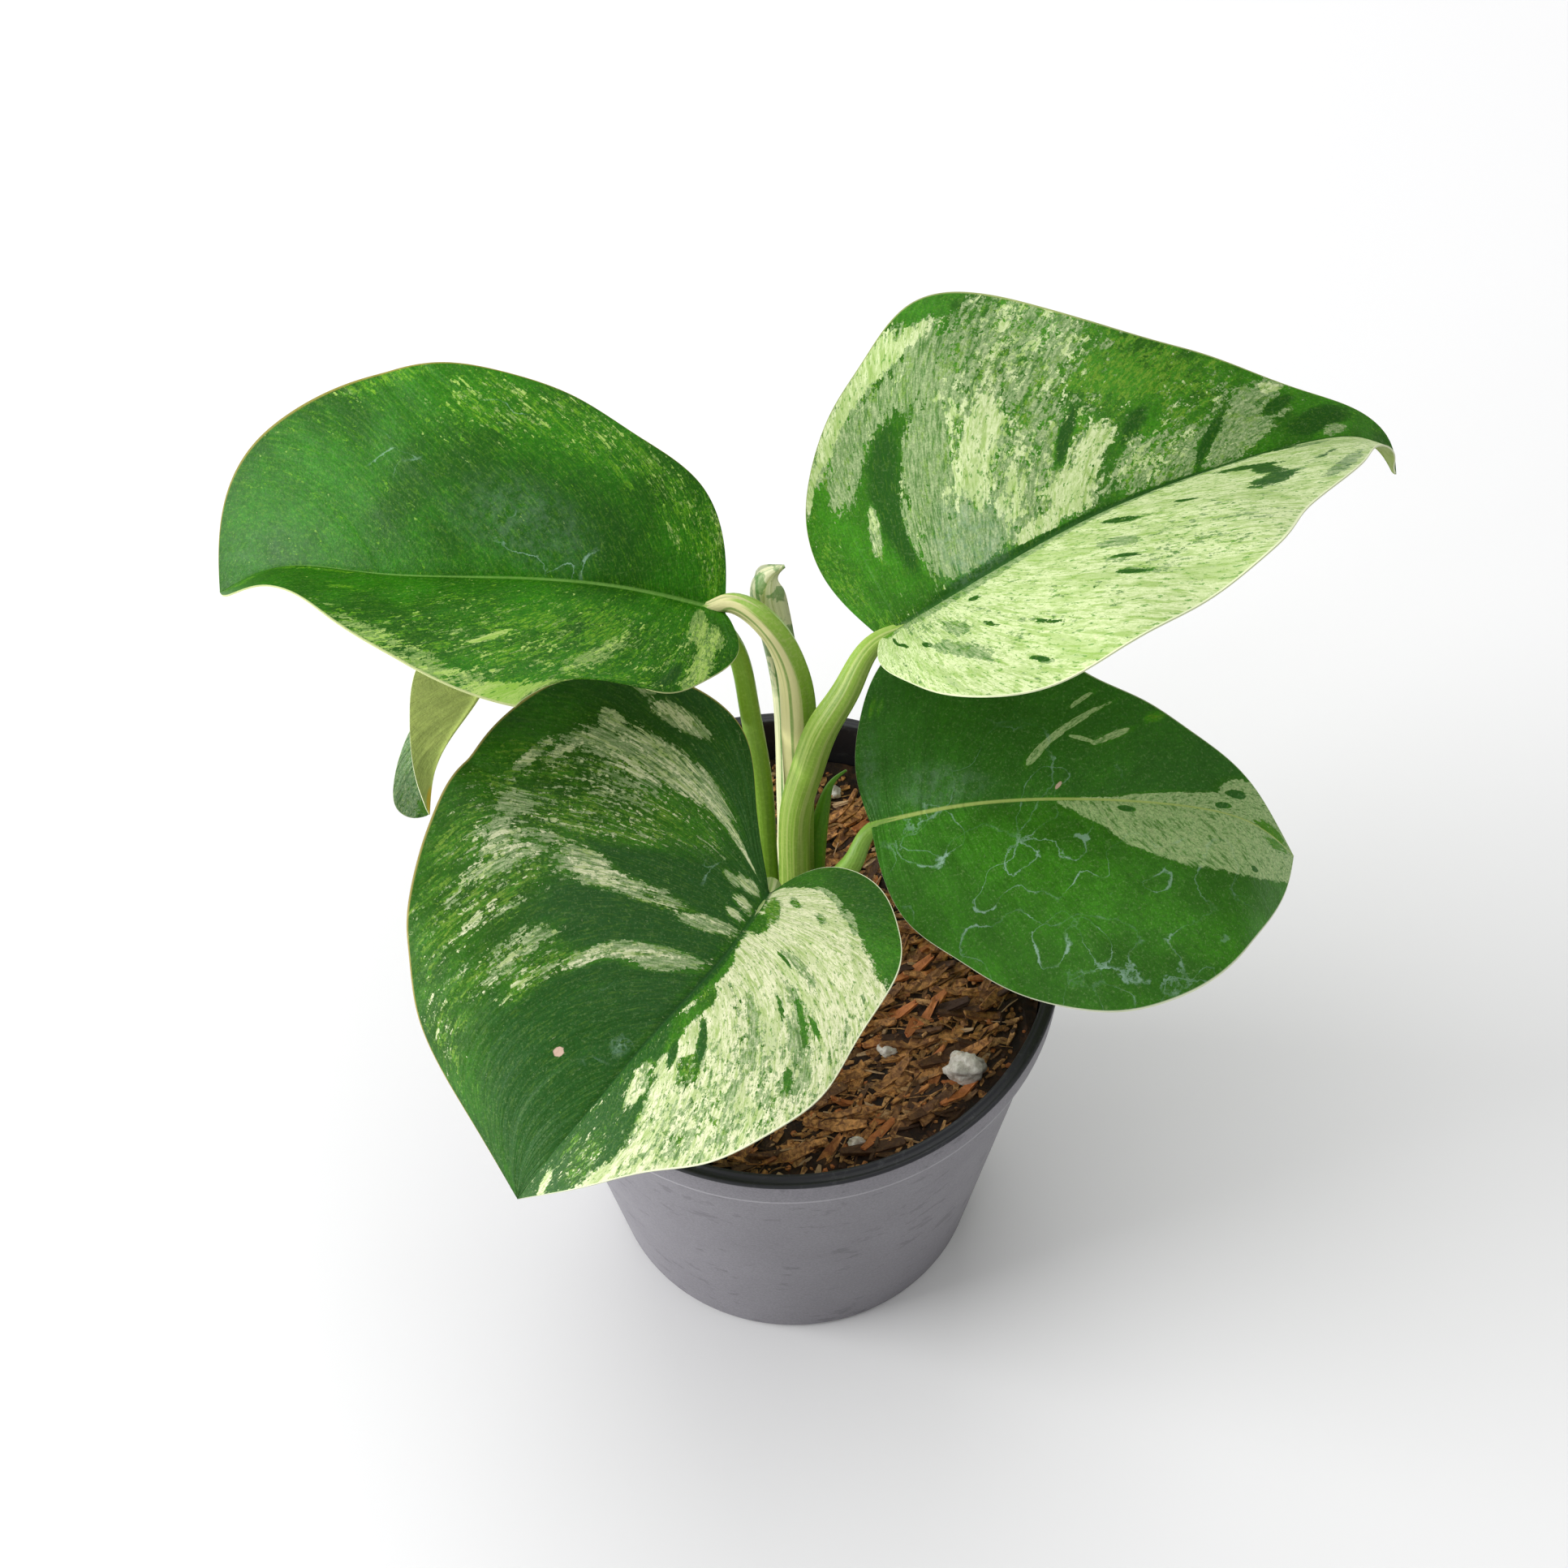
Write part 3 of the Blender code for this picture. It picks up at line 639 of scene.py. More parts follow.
RIGHT_MARKS = (
    Sector(CREAM, RIGHT_HALF),
    Patch(SAGE, 0.5, -0.045, 0.4, 0.05),
    *patches(LIME, (0.06, -0.05, 0.12, 0.14), (0.1, 0.6, 0.07, 0.5, 0.0, 0.5), (0.04, 0.08, 0.14, 0.06)),
    *patches(DEEP, (0.155, -0.28, 0.012, 0.07, 0.1), (0.185, -0.34, 0.02, 0.03), (0.205, -0.37, 0.012, 0.025),
        (0.275, -0.38, 0.012, 0.035, 0.1), (0.44, -0.17, 0.01, 0.022), (0.395, -0.42, 0.006, 0.04),
        (0.66, -0.28, 0.009, 0.1)),
    *patches(SAGE, (0.315, -0.5, 0.025, 0.12, 0.15), (0.355, -0.33, 0.02, 0.1)),
    Patch(FLECKED, 0.12, -0.75, 0.1, 0.2, 0.0, 0.3),
    *patches(MOTTLED, (0.5, -0.5, 0.2, 0.25, 0.0, 0.25), (0.3, -0.2, 0.08, 0.12, 0.0, 0.5),
        (0.6, -0.75, 0.1, 0.2, 0.0, 0.35)),
    *patches(DEEP, (0.42, -0.62, 0.004, 0.06), (0.52, -0.66, 0.005, 0.05), (0.56, -0.56, 0.004, 0.05),
        (0.36, -0.8, 0.005, 0.05), (0.7, -0.45, 0.005, 0.06), (0.805, -0.36, 0.011, 0.18, 0.03),
        (0.785, -0.55, 0.012, 0.13, -0.12), (0.745, -0.69, 0.028, 0.08, 0.0, 0.85), (0.875, -0.1, 0.012, 0.09),
        (0.83, -0.75, 0.02, 0.03, 0.0, 0.6)),
    *patches(SAGE, (0.33, -0.62, 0.008, 0.08), (0.89, -0.26, 0.02, 0.1), (0.595, -0.45, 0.012, 0.07),
        (0.78, -0.93, 0.05, 0.04), (0.28, 0.72, 0.07, 0.17), (0.36, 0.74, 0.06, 0.09), (0.45, 0.7, 0.06, 0.16)),
    *patches(CREAM, (0.26, 0.93, 0.055, 0.08), (0.35, 0.93, 0.06, 0.08), (0.42, 0.87, 0.045, 0.04),
        (0.19, 0.97, 0.03, 0.04)),
    *patches(DEEP, (0.357, 0.43, 0.056, 0.24, 0.05), (0.37, 0.24, 0.03, 0.14)),
    Patch(PALE, 0.285, 0.36, 0.022, 0.09, 0.12),
    Patch(SAGE, 0.385, 0.27, 0.012, 0.09),
    Patch(FLECKED, 0.62, 0.6, 0.08, 0.35),
    *patches(MOTTLED, (0.56, 0.82, 0.09, 0.27), (0.5, 0.35, 0.11, 0.3)),
    *patches(SAGE, (0.44, 0.4, 0.04, 0.22), (0.5, 0.13, 0.1, 0.09)),
    Patch(MOTTLED, 0.6, 0.35, 0.05, 0.3),
    *patches(CREAM, (0.535, 0.45, 0.022, 0.17, 0.03), (0.515, 0.32, 0.022, 0.06), (0.675, 0.4, 0.02, 0.12, 0.03),
        (0.66, 0.17, 0.032, 0.14)),
    Patch(PALE, 0.575, 0.22, 0.02, 0.12),
    Patch(CREAM, 0.61, 0.06, 0.035, 0.05),
    *patches(DEEP, (0.64, 0.47, 0.008, 0.15), (0.715, 0.4, 0.012, 0.25)),
    Patch(MOTTLED, 0.735, 0.2, 0.02, 0.15),
    Patch(DEEP, 0.757, 0.5, 0.02, 0.27),
    Patch(LIME, 0.7, 0.82, 0.07, 0.2, 0.0, 0.8),
    Patch(FLECKED, 0.765, 0.6, 0.035, 0.35, 0.0, 0.9),
    Patch(MOTTLED, 0.76, 0.2, 0.07, 0.26, 0.0, 0.9),
    Patch(SAGE, 0.825, 0.5, 0.035, 0.52),
    Patch(CREAM, 0.82, 0.92, 0.012, 0.06),
    *patches(DEEP, (0.8, 0.35, 0.007, 0.3), (0.845, 0.76, 0.01, 0.15), (0.9, 0.55, 0.025, 0.4),
        (0.58, 0.012, 0.24, 0.02)),
    Patch(SAGE, 0.925, 0.3, 0.01, 0.2),
    # Painted sheen: a pale veil where light reflects off the blade.
    Patch(HAZE, 0.5, 0.13, 0.07, 0.13, 0.0, 0.8),
)

FRONT_MARKS = (
    Sector(CREAM, LEFT_HALF),
    *patches(MOTTLED, (0.66, 0.75, 0.14, 0.35, 0.0, 0.72), (0.5, 0.92, 0.12, 0.2, 0.0, 0.3),
        (0.5, 0.55, 0.02, 0.2, 0.05, 0.9)),
    Sector(GREEN, ((-0.1, 0.35), (0.09, 0.42), (0.14, 0.56), (0.2, 0.6), (0.28, 0.65), (0.33, 0.75), (0.36, 0.85),
        (0.385, 1.1), (-0.1, 1.1))),
    *patches(DEEP, (0.2, 0.85, 0.1, 0.15, 0.0, 0.5), (0.68, 0.35, 0.009, 0.16, 0.1)),
    *patches(SAGE, (0.18, 0.61, 0.05, 0.03), (0.27, 0.66, 0.04, 0.03), (0.44, 0.42, 0.014, 0.16, 0.05, 0.8),
        (0.53, 0.72, 0.014, 0.16, 0.0, 0.8), (0.585, 0.42, 0.014, 0.16, 0.1, 0.8)),
    Patch(LIME, 0.26, 0.09, 0.13, 0.06, 0.0, 0.8),
    *patches(GREEN, (0.38, 0.055, 0.05, 0.05), (0.508, 0.6, 0.006, 0.09, 0.1), (0.49, 0.7, 0.005, 0.06),
        (0.555, 0.8, 0.005, 0.06), (0.53, 0.45, 0.004, 0.07, 0.1), (0.45, 0.3, 0.005, 0.08, 0.1)),
    *patches(FLECKED, (0.2, 0.27, 0.035, 0.05), (0.27, 0.43, 0.02, 0.04), (0.71, 0.45, 0.018, 0.1)),
    Patch(MOTTLED, 0.6, 0.3, 0.012, 0.2, 0.1, 0.8),
    Patch(DEEP, 0.73, 0.27, 0.01, 0.1, 0.1),
    *patches(GREEN, (0.6, 0.04, 0.07, 0.04), (0.65, 0.12, 0.035, 0.05, 0.2), (0.72, 0.13, 0.04, 0.08, 0.15)),
    Sector(DEEP, ((0.7, 0.0), (0.75, 0.25), (0.78, 0.5), (0.805, 0.8), (0.83, 0.87), (0.9, 1.1), (1.1, 1.1),
        (1.1, 0.0)), 0.8),
    Patch(PALE, 0.79, 0.3, 0.022, 0.14, 0.05),
    Patch(FLECKED, 0.87, 0.7, 0.03, 0.25),
    Patch(CREAM, 0.935, 0.75, 0.01, 0.3),
    Patch(LIME, 0.9, 0.3, 0.02, 0.12, 0.0, 0.6),
    Patch(DEEP, 0.65, 0.015, 0.14, 0.025),
    Sector(DEEP, RIGHT_HALF, 0.85),
    Patch(GREEN, 0.6, -0.82, 0.35, 0.22, 0.0, 0.7),
    *patches(PALE, (0.235, -0.1, 0.05, 0.06, 0.3), (0.34, -0.05, 0.03, 0.04), (0.185, -0.3, 0.014, 0.1, 0.35),
        (0.22, -0.43, 0.016, 0.09, 0.4), (0.3, -0.63, 0.075, 0.19, 0.4), (0.25, -0.85, 0.03, 0.05, 0.3),
        (0.335, -0.82, 0.014, 0.04), (0.41, -0.05, 0.02, 0.03), (0.5, -0.09, 0.025, 0.08, 0.4)),
    *patches(SAGE, (0.3, -0.15, 0.02, 0.04), (0.285, -0.94, 0.012, 0.03), (0.635, -0.13, 0.024, 0.1, 0.3)),
    Patch(FLECKED, 0.35, -0.45, 0.1, 0.22, 0.3, 0.8),
    *patches(MOTTLED, (0.39, -0.6, 0.05, 0.12, 0.3, 0.8), (0.54, -0.3, 0.028, 0.15, 0.25)),
    *patches(PALE, (0.565, -0.5, 0.038, 0.12, 0.1), (0.675, -0.3, 0.016, 0.14, 0.35, 0.9),
        (0.645, -0.17, 0.012, 0.08, 0.35, 0.9)),
    *patches(FLECKED, (0.73, -0.5, 0.03, 0.1, 0.3), (0.5, -0.74, 0.13, 0.2, 0.3, 0.9)),
    Patch(SAGE, 0.545, -0.78, 0.035, 0.05, 0.3),
    *patches(PALE, (0.41, -0.78, 0.02, 0.018, 0.6), (0.45, -0.84, 0.03, 0.022, 0.6),
        (0.255, -0.83, 0.022, 0.04, 0.3)),
    Patch(FLECKED, 0.66, -0.75, 0.06, 0.2, 0.3),
    *patches(MOTTLED, (0.6, -0.72, 0.035, 0.12, 0.3, 0.95), (0.72, -0.6, 0.03, 0.12, 0.3, 0.9)),
    *patches(FLECKED, (0.46, -0.52, 0.05, 0.16, 0.3), (0.8, -0.82, 0.05, 0.15, 0.3, 0.8),
        (0.7, -0.93, 0.12, 0.07, 0.0, 0.5)),
    Patch(SCAR, 0.817, -0.3, 0.0055, 0.022),
    *patches(STAIN, (0.36, -0.22, 0.05, 0.06, 0.0, 0.5), (0.76, -0.15, 0.05, 0.1, 0.0, 0.6),
        (0.2, -0.6, 0.04, 0.1, 0.0, 0.5)),
)

LOW_MARKS = (
    Sector(DEEP, LEFT_HALF, 0.6),
    Sector(DEEP, RIGHT_HALF, 0.35),
    *patches(LIME, (0.225, 0.8, 0.02, 0.06, 0.0, 0.8), (0.255, 0.7, 0.015, 0.04, 0.0, 0.7),
        (0.705, 0.93, 0.008, 0.06)),
    *patches(SAGE, (0.635, 0.6, 0.008, 0.27, 0.03), (0.632, 0.37, 0.008, 0.1), (0.7, 0.65, 0.008, 0.12, 0.05),
        (0.61, 0.83, 0.005, 0.08), (0.67, 0.56, 0.02, 0.02)),
    Sector(SAGE, ((0.74, 0.0), (0.79, 0.06), (0.83, 0.2), (0.86, 0.35), (0.875, 0.5), (0.86, 0.65), (0.855, 0.85),
        (0.86, 1.1), (1.1, 1.1), (1.1, 0.0))),
    *patches(DEEP, (0.885, 0.68, 0.01, 0.12), (0.897, 0.25, 0.007, 0.12)),
    Patch(LIME, 0.96, 0.4, 0.03, 0.5, 0.0, 0.7),
    Sector(SAGE, ((0.7, 0.0), (0.725, -0.1), (0.745, -0.2), (0.755, -0.33), (0.775, -0.43), (0.8, -0.54),
        (0.82, -0.58), (0.85, -0.68), (0.9, -0.8), (0.93, -0.9), (0.96, -1.1), (1.1, -1.1), (1.1, 0.0))),
    *patches(DEEP, (0.793, -0.07, 0.01, 0.025), (0.885, -0.67, 0.006, 0.03)),
    Patch(SCAR, 0.7, 0.13, 0.0035, 0.035),
    Patch(LIME, 0.97, -0.3, 0.03, 0.25, 0.0, 0.6),
    *patches(STAIN, (0.5, -0.5, 0.3, 0.5), (0.62, 0.3, 0.12, 0.25, 0.0, 0.6)),
    # Painted sheen: pale veils where light reflects off the blade.
    *patches(HAZE, (0.45, 0.12, 0.12, 0.1, 0.0, 0.5), (0.14, 0.45, 0.08, 0.3, 0.0, 0.4)),
)

HANGING_MARKS = (
    Sector(SAGE, RIGHT_HALF),
    *patches(LIME, (0.98, -0.4, 0.035, 0.6), (0.98, 0.4, 0.045, 0.6)),
    Patch(MOTTLED, 0.4, 0.4, 0.3, 0.5, 0.0, 0.4),
)


# Finishes


@dataclass(frozen=True)
class LeafFinish:
    """The colours of a blade, and how its veins show.

    Rib_width is where the midrib's line ends, in its half widths, fleck how many lime streaks
    the green has, ragged how torn the edges of the markings are and ripe how yellow the tip of
    the underside is.
    """

    name: str
    green: Colour = (0.026, 0.125, 0.004)
    deep: Colour = (0.012, 0.070, 0.006)
    lime: Colour = (0.15, 0.33, 0.018)
    sage: Colour = (0.19, 0.29, 0.115)
    cream: Colour = (0.60, 0.68, 0.34)
    under: Colour = (0.27, 0.36, 0.07)
    rib: Colour = (0.10, 0.26, 0.03)
    left_edge: Colour = (0.55, 0.62, 0.36)
    right_edge: Colour = (0.55, 0.62, 0.36)
    # The tone of the painted sheen, a pale reflection laid into the colour.
    painted_sheen_tone: Colour = (0.30, 0.42, 0.33)
    ring_tone: Colour = (0.36, 0.56, 0.44)
    scar_tone: Colour = (0.66, 0.46, 0.36)
    ripe_tone: Colour = (0.66, 0.47, 0.03)
    rib_strength: float = 0.6
    rib_width: float = 0.45
    fleck: float = 0.5
    ragged: float = 1.0
    ripe: float = 0.0
    seed: float = 0.0
    roughness: float = 0.44
    gloss: float = 0.12

    def _tooth(self, skin: Skin, vein: tuple[Flow, Flow], place: Flow, layer: float) -> Flow:
        """Noise drawn out along the veins, which breaks up the edges of the markings.

        Args:
            skin: The material.
            vein: The place along the margin and out from the midrib.
            place: The place in metres.
            layer: Which layer of tissue it is for.

        Returns:
            The noise, spread evenly from 0 to 1.
        """
        seed = self.seed + layer
        broad = skin.streaks(vein, (34.0, 6.0), seed + 9.0, 3.0, 0.6, 0.3)
        streak = skin.streaks(vein, (120.0, 16.0), seed, 4.0, 0.68, 0.4)
        speck = skin.noise(place, 900.0 + 60.0 * layer, 3.0, 0.65)
        tooth = skin.spread(streak * 0.40 + broad * 0.32 + speck * 0.28, 0.37, 0.63)
        return (tooth - 0.5) * self.ragged + 0.5

    def _colour(self, skin: Skin) -> tuple[Flow, Flow]:
        """Mixes the green, the tissues, the veils with their painted sheen, the midrib and the margins.

        Args:
            skin: The material.

        Returns:
            The blade's colour, and how creamy each point is.
        """
        along, out, rib = skin.parts(skin.attribute("vein"))
        vein = (along, out)
        levels = skin.attribute("tissue")
        cream_level, sage_level, lime_level = skin.parts(levels)
        stain, painted_sheen, scar = skin.parts(skin.attribute("veil"))
        place = skin.place()
        first, second, third = (self._tooth(skin, vein, place, layer) for layer in (0.0, 3.0, 6.0))
        cream = skin.smooth(cream_level + first, 0.94, 1.04)
        sage = skin.smooth(sage_level + second, 0.94, 1.06)
        lime = skin.smooth(lime_level + third, 0.90, 1.12)
        deep = skin.smooth(levels.other("Alpha") + (second - 0.5) * 0.5, 0.2, 0.9)
        grain = skin.streaks(vein, (230.0, 22.0), self.seed, 4.0, 0.7, 0.3)
        strand = skin.streaks(vein, (130.0, 7.0), self.seed + 50.0, 5.0, 0.65, 0.3)
        light_sage = between(self.sage, self.cream, 0.45)
        pale_lime = between(self.cream, self.lime, 0.58)

        cloud = skin.smooth(skin.noise(place, 48.0, 3.0, 0.6), 0.35, 0.65)
        colour = skin.mix(cloud, self._green(0.68), self._green(1.42))
        bands = skin.streaks(vein, (13.0, 1.1), self.seed, 2.0, 0.5)
        colour = skin.wash(colour, (bands, 0.40, 0.62, 0.30, self._green(0.55)))
        colour = skin.mix(deep, colour, self.deep)
        colour = skin.wash(colour, (grain, 0.50, 0.66, self.fleck * 0.48, self.lime),
                           (grain, 0.47, 0.34, 0.45, self._green(0.5)),
                           (skin.noise(place, 700.0, 4.0, 0.75), 0.38, 0.60, 0.28, self._green(0.4)))
        lime_tone = skin.mix(skin.smooth(grain, 0.40, 0.58), self.lime, self._green(1.3))
        colour = skin.mix(lime * 0.85, colour, lime_tone)
        colour = skin.wash(colour, (skin.noise(place, 1700.0, 3.0, 0.7), 0.52, 0.70, 0.24, self.sage))

        sage_tone = skin.mix(skin.smooth(grain, 0.36, 0.54), light_sage, self.sage)
        sage_tone = skin.wash(sage_tone, (grain, 0.53, 0.61, 0.6, self._green(0.9)),
                              (strand, 0.55, 0.63, 0.65, self._green(0.8)), (strand, 0.46, 0.38, 0.5, light_sage),
                              (third, 0.55, 0.85, 0.5, self.lime))
        colour = skin.mix(sage, colour, sage_tone)

        marble = skin.streaks(vein, (24.0, 3.0), self.seed + 40.0, 5.0, 0.62, 0.5)
        flecks = skin.streaks(vein, (210.0, 34.0), self.seed + 30.0, 3.0, 0.6)
        cream_tone = skin.mix(skin.smooth(marble, 0.48, 0.60) * 0.75, self.cream, pale_lime)
        cream_tone = skin.wash(cream_tone, (third, 0.45, 0.85, 0.5, pale_lime), (strand, 0.51, 0.60, 0.6, self.lime),
                               (grain, 0.49, 0.60, 0.45, self.lime), (marble, 0.63, 0.67, 0.6, light_sage),
                               (flecks, 0.59, 0.63, 0.8, self._green(1.2)))
        colour = skin.mix(cream, colour, cream_tone)

        pore_tone = skin.mix(cream, self._green(0.35), pale_lime)
        colour = skin.wash(colour, (skin.noise(place, 2300.0, 2.0, 0.7), 0.36, 0.64, 0.34, pore_tone))
        # Painted sheen: a pale, misty veil where the marks lay it, for light reflected off the waxy face.
        painted_sheen_cover = skin.smooth(skin.noise(place, 420.0, 6.0, 0.85), 0.38, 0.66) * painted_sheen
        colour = skin.mix(painted_sheen_cover * 0.45, colour, self.painted_sheen_tone)
        colour = skin.mix(self._rings(skin, place) * stain, colour, self.ring_tone)
        colour = skin.wash(colour, (scar, 0.25, 0.5, 0.9, self.scar_tone),
                           (rib, self.rib_width + 0.25, self.rib_width - 0.1, self.rib_strength, self.rib))
        edge = skin.mix(skin.smooth(out, -0.01, 0.01), self.right_edge, self.left_edge)
        colour = skin.mix(skin.smooth(skin.maths("ABSOLUTE", out), 0.990, 0.997), colour, edge)
        return colour, cream

    def _green(self, factor: float) -> Colour:
        """The blade's green, lighter or darker."""
        return shade(self.green, factor)

    def _rings(self, skin: Skin, place: Flow) -> Flow:
        """Closed, broken outlines with small crusts on them, as dried drops leave.

        Args:
            skin: The material.
            place: The place in metres.

        Returns:
            How strongly they show, from 0 to 0.75.
        """
        total = 0.0
        rough = skin.noise(place, 520.0, 4.0, 0.7)
        crust = skin.smooth(skin.noise(place, 260.0, 3.0, 0.6), 0.52, 0.60)
        broken = skin.smooth(skin.noise(place, 110.0, 2.0, 0.6), 0.42, 0.56)
        for scale, level in ((56.0, 0.56), (85.0, 0.60)):
            field = skin.noise(place, scale, 1.0, 0.4) + rough * 0.07
            away = skin.maths("ABSOLUTE", field - level)
            line = skin.smooth(away, 0.006, 0.0015)
            patch = skin.smooth(away, 0.016, 0.004) * crust
            total = total + line * (broken * 0.6 + 0.12) + patch * (broken * 0.8 + 0.1)
        return skin.spread(total, 0.0, 1.0) * 0.75

    def upper(self) -> bpy.types.Material:
        """Makes the material of the satin upper face.

        Returns:
            The material.
        """
        skin = Skin(f"{self.name}_upper")
        colour, cream = self._colour(skin)
        place = skin.place()
        along, out, _ = skin.parts(skin.attribute("vein"))
        wear = skin.noise(place, 300.0, 4.0, 0.7)
        skin.coat(Base_Color=colour, Roughness=wear * 0.22 + cream * 0.05 + (self.roughness - 0.1),
                  Specular_IOR_Level=self.gloss)
        ridges = skin.streaks((along, out), (46.0, 1.4), self.seed, 2.0, 0.5)
        skin.relief(skin.noise(place, 1500.0, 3.0, 0.65) * 0.35 + ridges, 0.0004, 0.8)
        return skin.material

    def lower(self) -> bpy.types.Material:
        """Makes the material of the underside: paler and duller, with the same markings showing through.

        Returns:
            The material.
        """
        skin = Skin(f"{self.name}_lower")
        colour, _ = self._colour(skin)
        place = skin.place()
        along, out, rib = skin.parts(skin.attribute("vein"))
        mottle = skin.noise(place, 320.0, 4.0, 0.65)
        pale = skin.mix(skin.smooth(mottle, 0.35, 0.7), self.under, shade(self.under, 0.78))
        light = shade(self.under, 1.25)
        colour = skin.mix(0.78, colour, pale)
        veins = skin.streaks((along, out), (26.0, 1.2), self.seed, 3.0, 0.5)
        lime_level = skin.parts(skin.attribute("tissue"))[2]
        colour = skin.wash(colour, (veins, 0.5, 0.62, 0.2, light), (rib, 1.2, 0.6, 0.35, light),
                           (lime_level, 0.45, 0.75, self.ripe, self.ripe_tone))
        skin.coat(Base_Color=colour, Roughness=mottle * 0.2 + 0.5, Specular_IOR_Level=self.gloss)
        ridges = skin.streaks((along, out), (40.0, 1.5), self.seed, 3.0, 0.55)
        skin.relief(skin.noise(place, 1500.0, 2.0) * 0.4 + ridges, 0.0003)
        return skin.material


@dataclass(frozen=True)
class StalkFinish:
    """A stem's greens, its pale side and the lines that run along it.

    Pale_level and pale_side say how much of the stem is pale, all round and on its pale side,
    line_level how strong the dark line beside that is, line_count how many streaks run round
    the stem and blotch how spotted its upper end is.
    """

    name: str
    green: Colour = (0.24, 0.38, 0.08)
    pale: Colour = (0.55, 0.58, 0.30)
    dark: Colour = (0.10, 0.22, 0.03)
    pale_level: float = 0.2
    pale_side: float = 0.0
    line_level: float = 0.0
    line_count: float = 3.0
    blotch: float = 0.0
    seed: float = 0.0
    roughness: float = 0.45

    def dress(self) -> bpy.types.Material:
        """Makes the material, which reads where a point is round the stem and along it.

        Returns:
            The material.
        """
        skin = Skin(self.name)
        x, y, _ = skin.parts(skin.attribute("ring"))
        along = skin.attribute("along", "Fac")
        place = skin.place()
        facing = skin.attribute("facing", "Fac")
        wide = skin.noise(skin.vector(x * 1.3, y * 1.3, along * 2.0 + self.seed), 1.0, 3.0, 0.6)
        streaks = skin.vector(x * self.line_count, y * self.line_count, along * 1.6 + self.seed)
        fine = skin.noise(streaks, 1.0, 5.0, 0.6)
        cells = skin.noise(place, 1300.0, 3.0, 0.6)
        colour = skin.mix(skin.smooth(wide, 0.35, 0.65), self.green, shade(self.green, 0.75))
        colour = skin.wash(colour, (along, 0.45, 0.0, 0.35, self.dark))
        pale = skin.smooth(facing * self.pale_side + fine * 1.2 + self.pale_level, 0.72, 1.0)
        colour = skin.mix(pale, colour, self.pale)
        away = skin.maths("ABSOLUTE", facing + wide * 0.5 - 0.62)
        colour = skin.wash(colour, (away, 0.12, 0.04, self.line_level, self.dark),
                           (fine, 0.56, 0.66, 0.45, self.dark))
        spots = skin.smooth(skin.noise(place, 190.0, 4.0, 0.6, 0.4), 0.52, 0.58)
        colour = skin.mix(spots * skin.smooth(along, 0.58, 0.72) * self.blotch, colour, self.dark)
        colour = skin.wash(colour, (cells, 0.45, 0.7, 0.18, self.pale))
        skin.coat(Base_Color=colour, Roughness=cells * 0.15 + (self.roughness - 0.07))
        skin.relief(fine * 0.6 + cells * 0.3, 0.0003)
        return skin.material


@dataclass(frozen=True)
class PotFinish:
    """Matt grey plastic outside, with smudges and a painted highlight along the collar's lower edge, and darker on
    the lip and inside.
    """

    outside: Colour = (0.205, 0.196, 0.220)
    inside: Colour = (0.006, 0.006, 0.009)
    lip: Colour = (0.016, 0.017, 0.022)
    smudge: Colour = (0.085, 0.080, 0.094)
    # The pale line along the collar's lower edge, a painted highlight.
    line: Colour = (0.50, 0.485, 0.52)
    dust_inside: Colour = (0.05, 0.048, 0.05)
    dust_on_lip: Colour = (0.09, 0.09, 0.10)
    roughness: float = 0.5

    def dress(self, pot: "Pot") -> bpy.types.Material:
        """Makes the material for a pot of these sizes.

        Args:
            pot: The pot, whose sizes say where its outside and its lip are.

        Returns:
            The material.
        """
        skin = Skin("pot_plastic_grey")
        place = skin.place()
        x, y, z = skin.parts(place)
        reach = skin.maths("SQRT", x * x + y * y)
        wall = z * pot.slope + (pot.base_radius - 0.8) * MM
        outside = skin.smooth(reach - wall, -0.0001, 0.0001)
        lip = skin.smooth(z, (pot.height - 0.9) * MM, (pot.height - 0.6) * MM)
        cloud = skin.noise(place, 28.0, 4.0, 0.6, 0.3)
        smears = skin.smooth(skin.noise(skin.vector(x * 130.0, y * 130.0, z * 230.0), 1.0, 4.0, 0.65), 0.57, 0.67)
        grain = skin.noise(place, 1900.0, 2.0, 0.6)
        colour = skin.mix(skin.smooth(cloud, 0.3, 0.7), self.outside, shade(self.outside, 0.9))
        colour = skin.wash(colour, (grain, 0.35, 0.65, 0.38, self.smudge))
        colour = skin.mix(smears * 0.62, colour, self.smudge)
        # A pale line painted along the collar's lower edge: a painted highlight where that edge catches the light.
        step = skin.maths("ABSOLUTE", z - (pot.collar_foot + 0.75) * MM)
        colour = skin.wash(colour, (step, 0.0007, 0.0003, 0.38, self.line))
        dust = skin.smooth(skin.noise(place, 500.0, 4.0, 0.7), 0.55, 0.75)
        colour = skin.mix(outside, skin.mix(dust * 0.5, self.inside, self.dust_inside), colour)
        colour = skin.mix(lip, colour, skin.mix(dust * 0.4, self.lip, self.dust_on_lip))
        skin.coat(Base_Color=colour, Roughness=cloud * 0.15 + (self.roughness - 0.05))
        skin.relief(grain * 0.5 + smears * 0.5, 0.00008)
        return skin.material


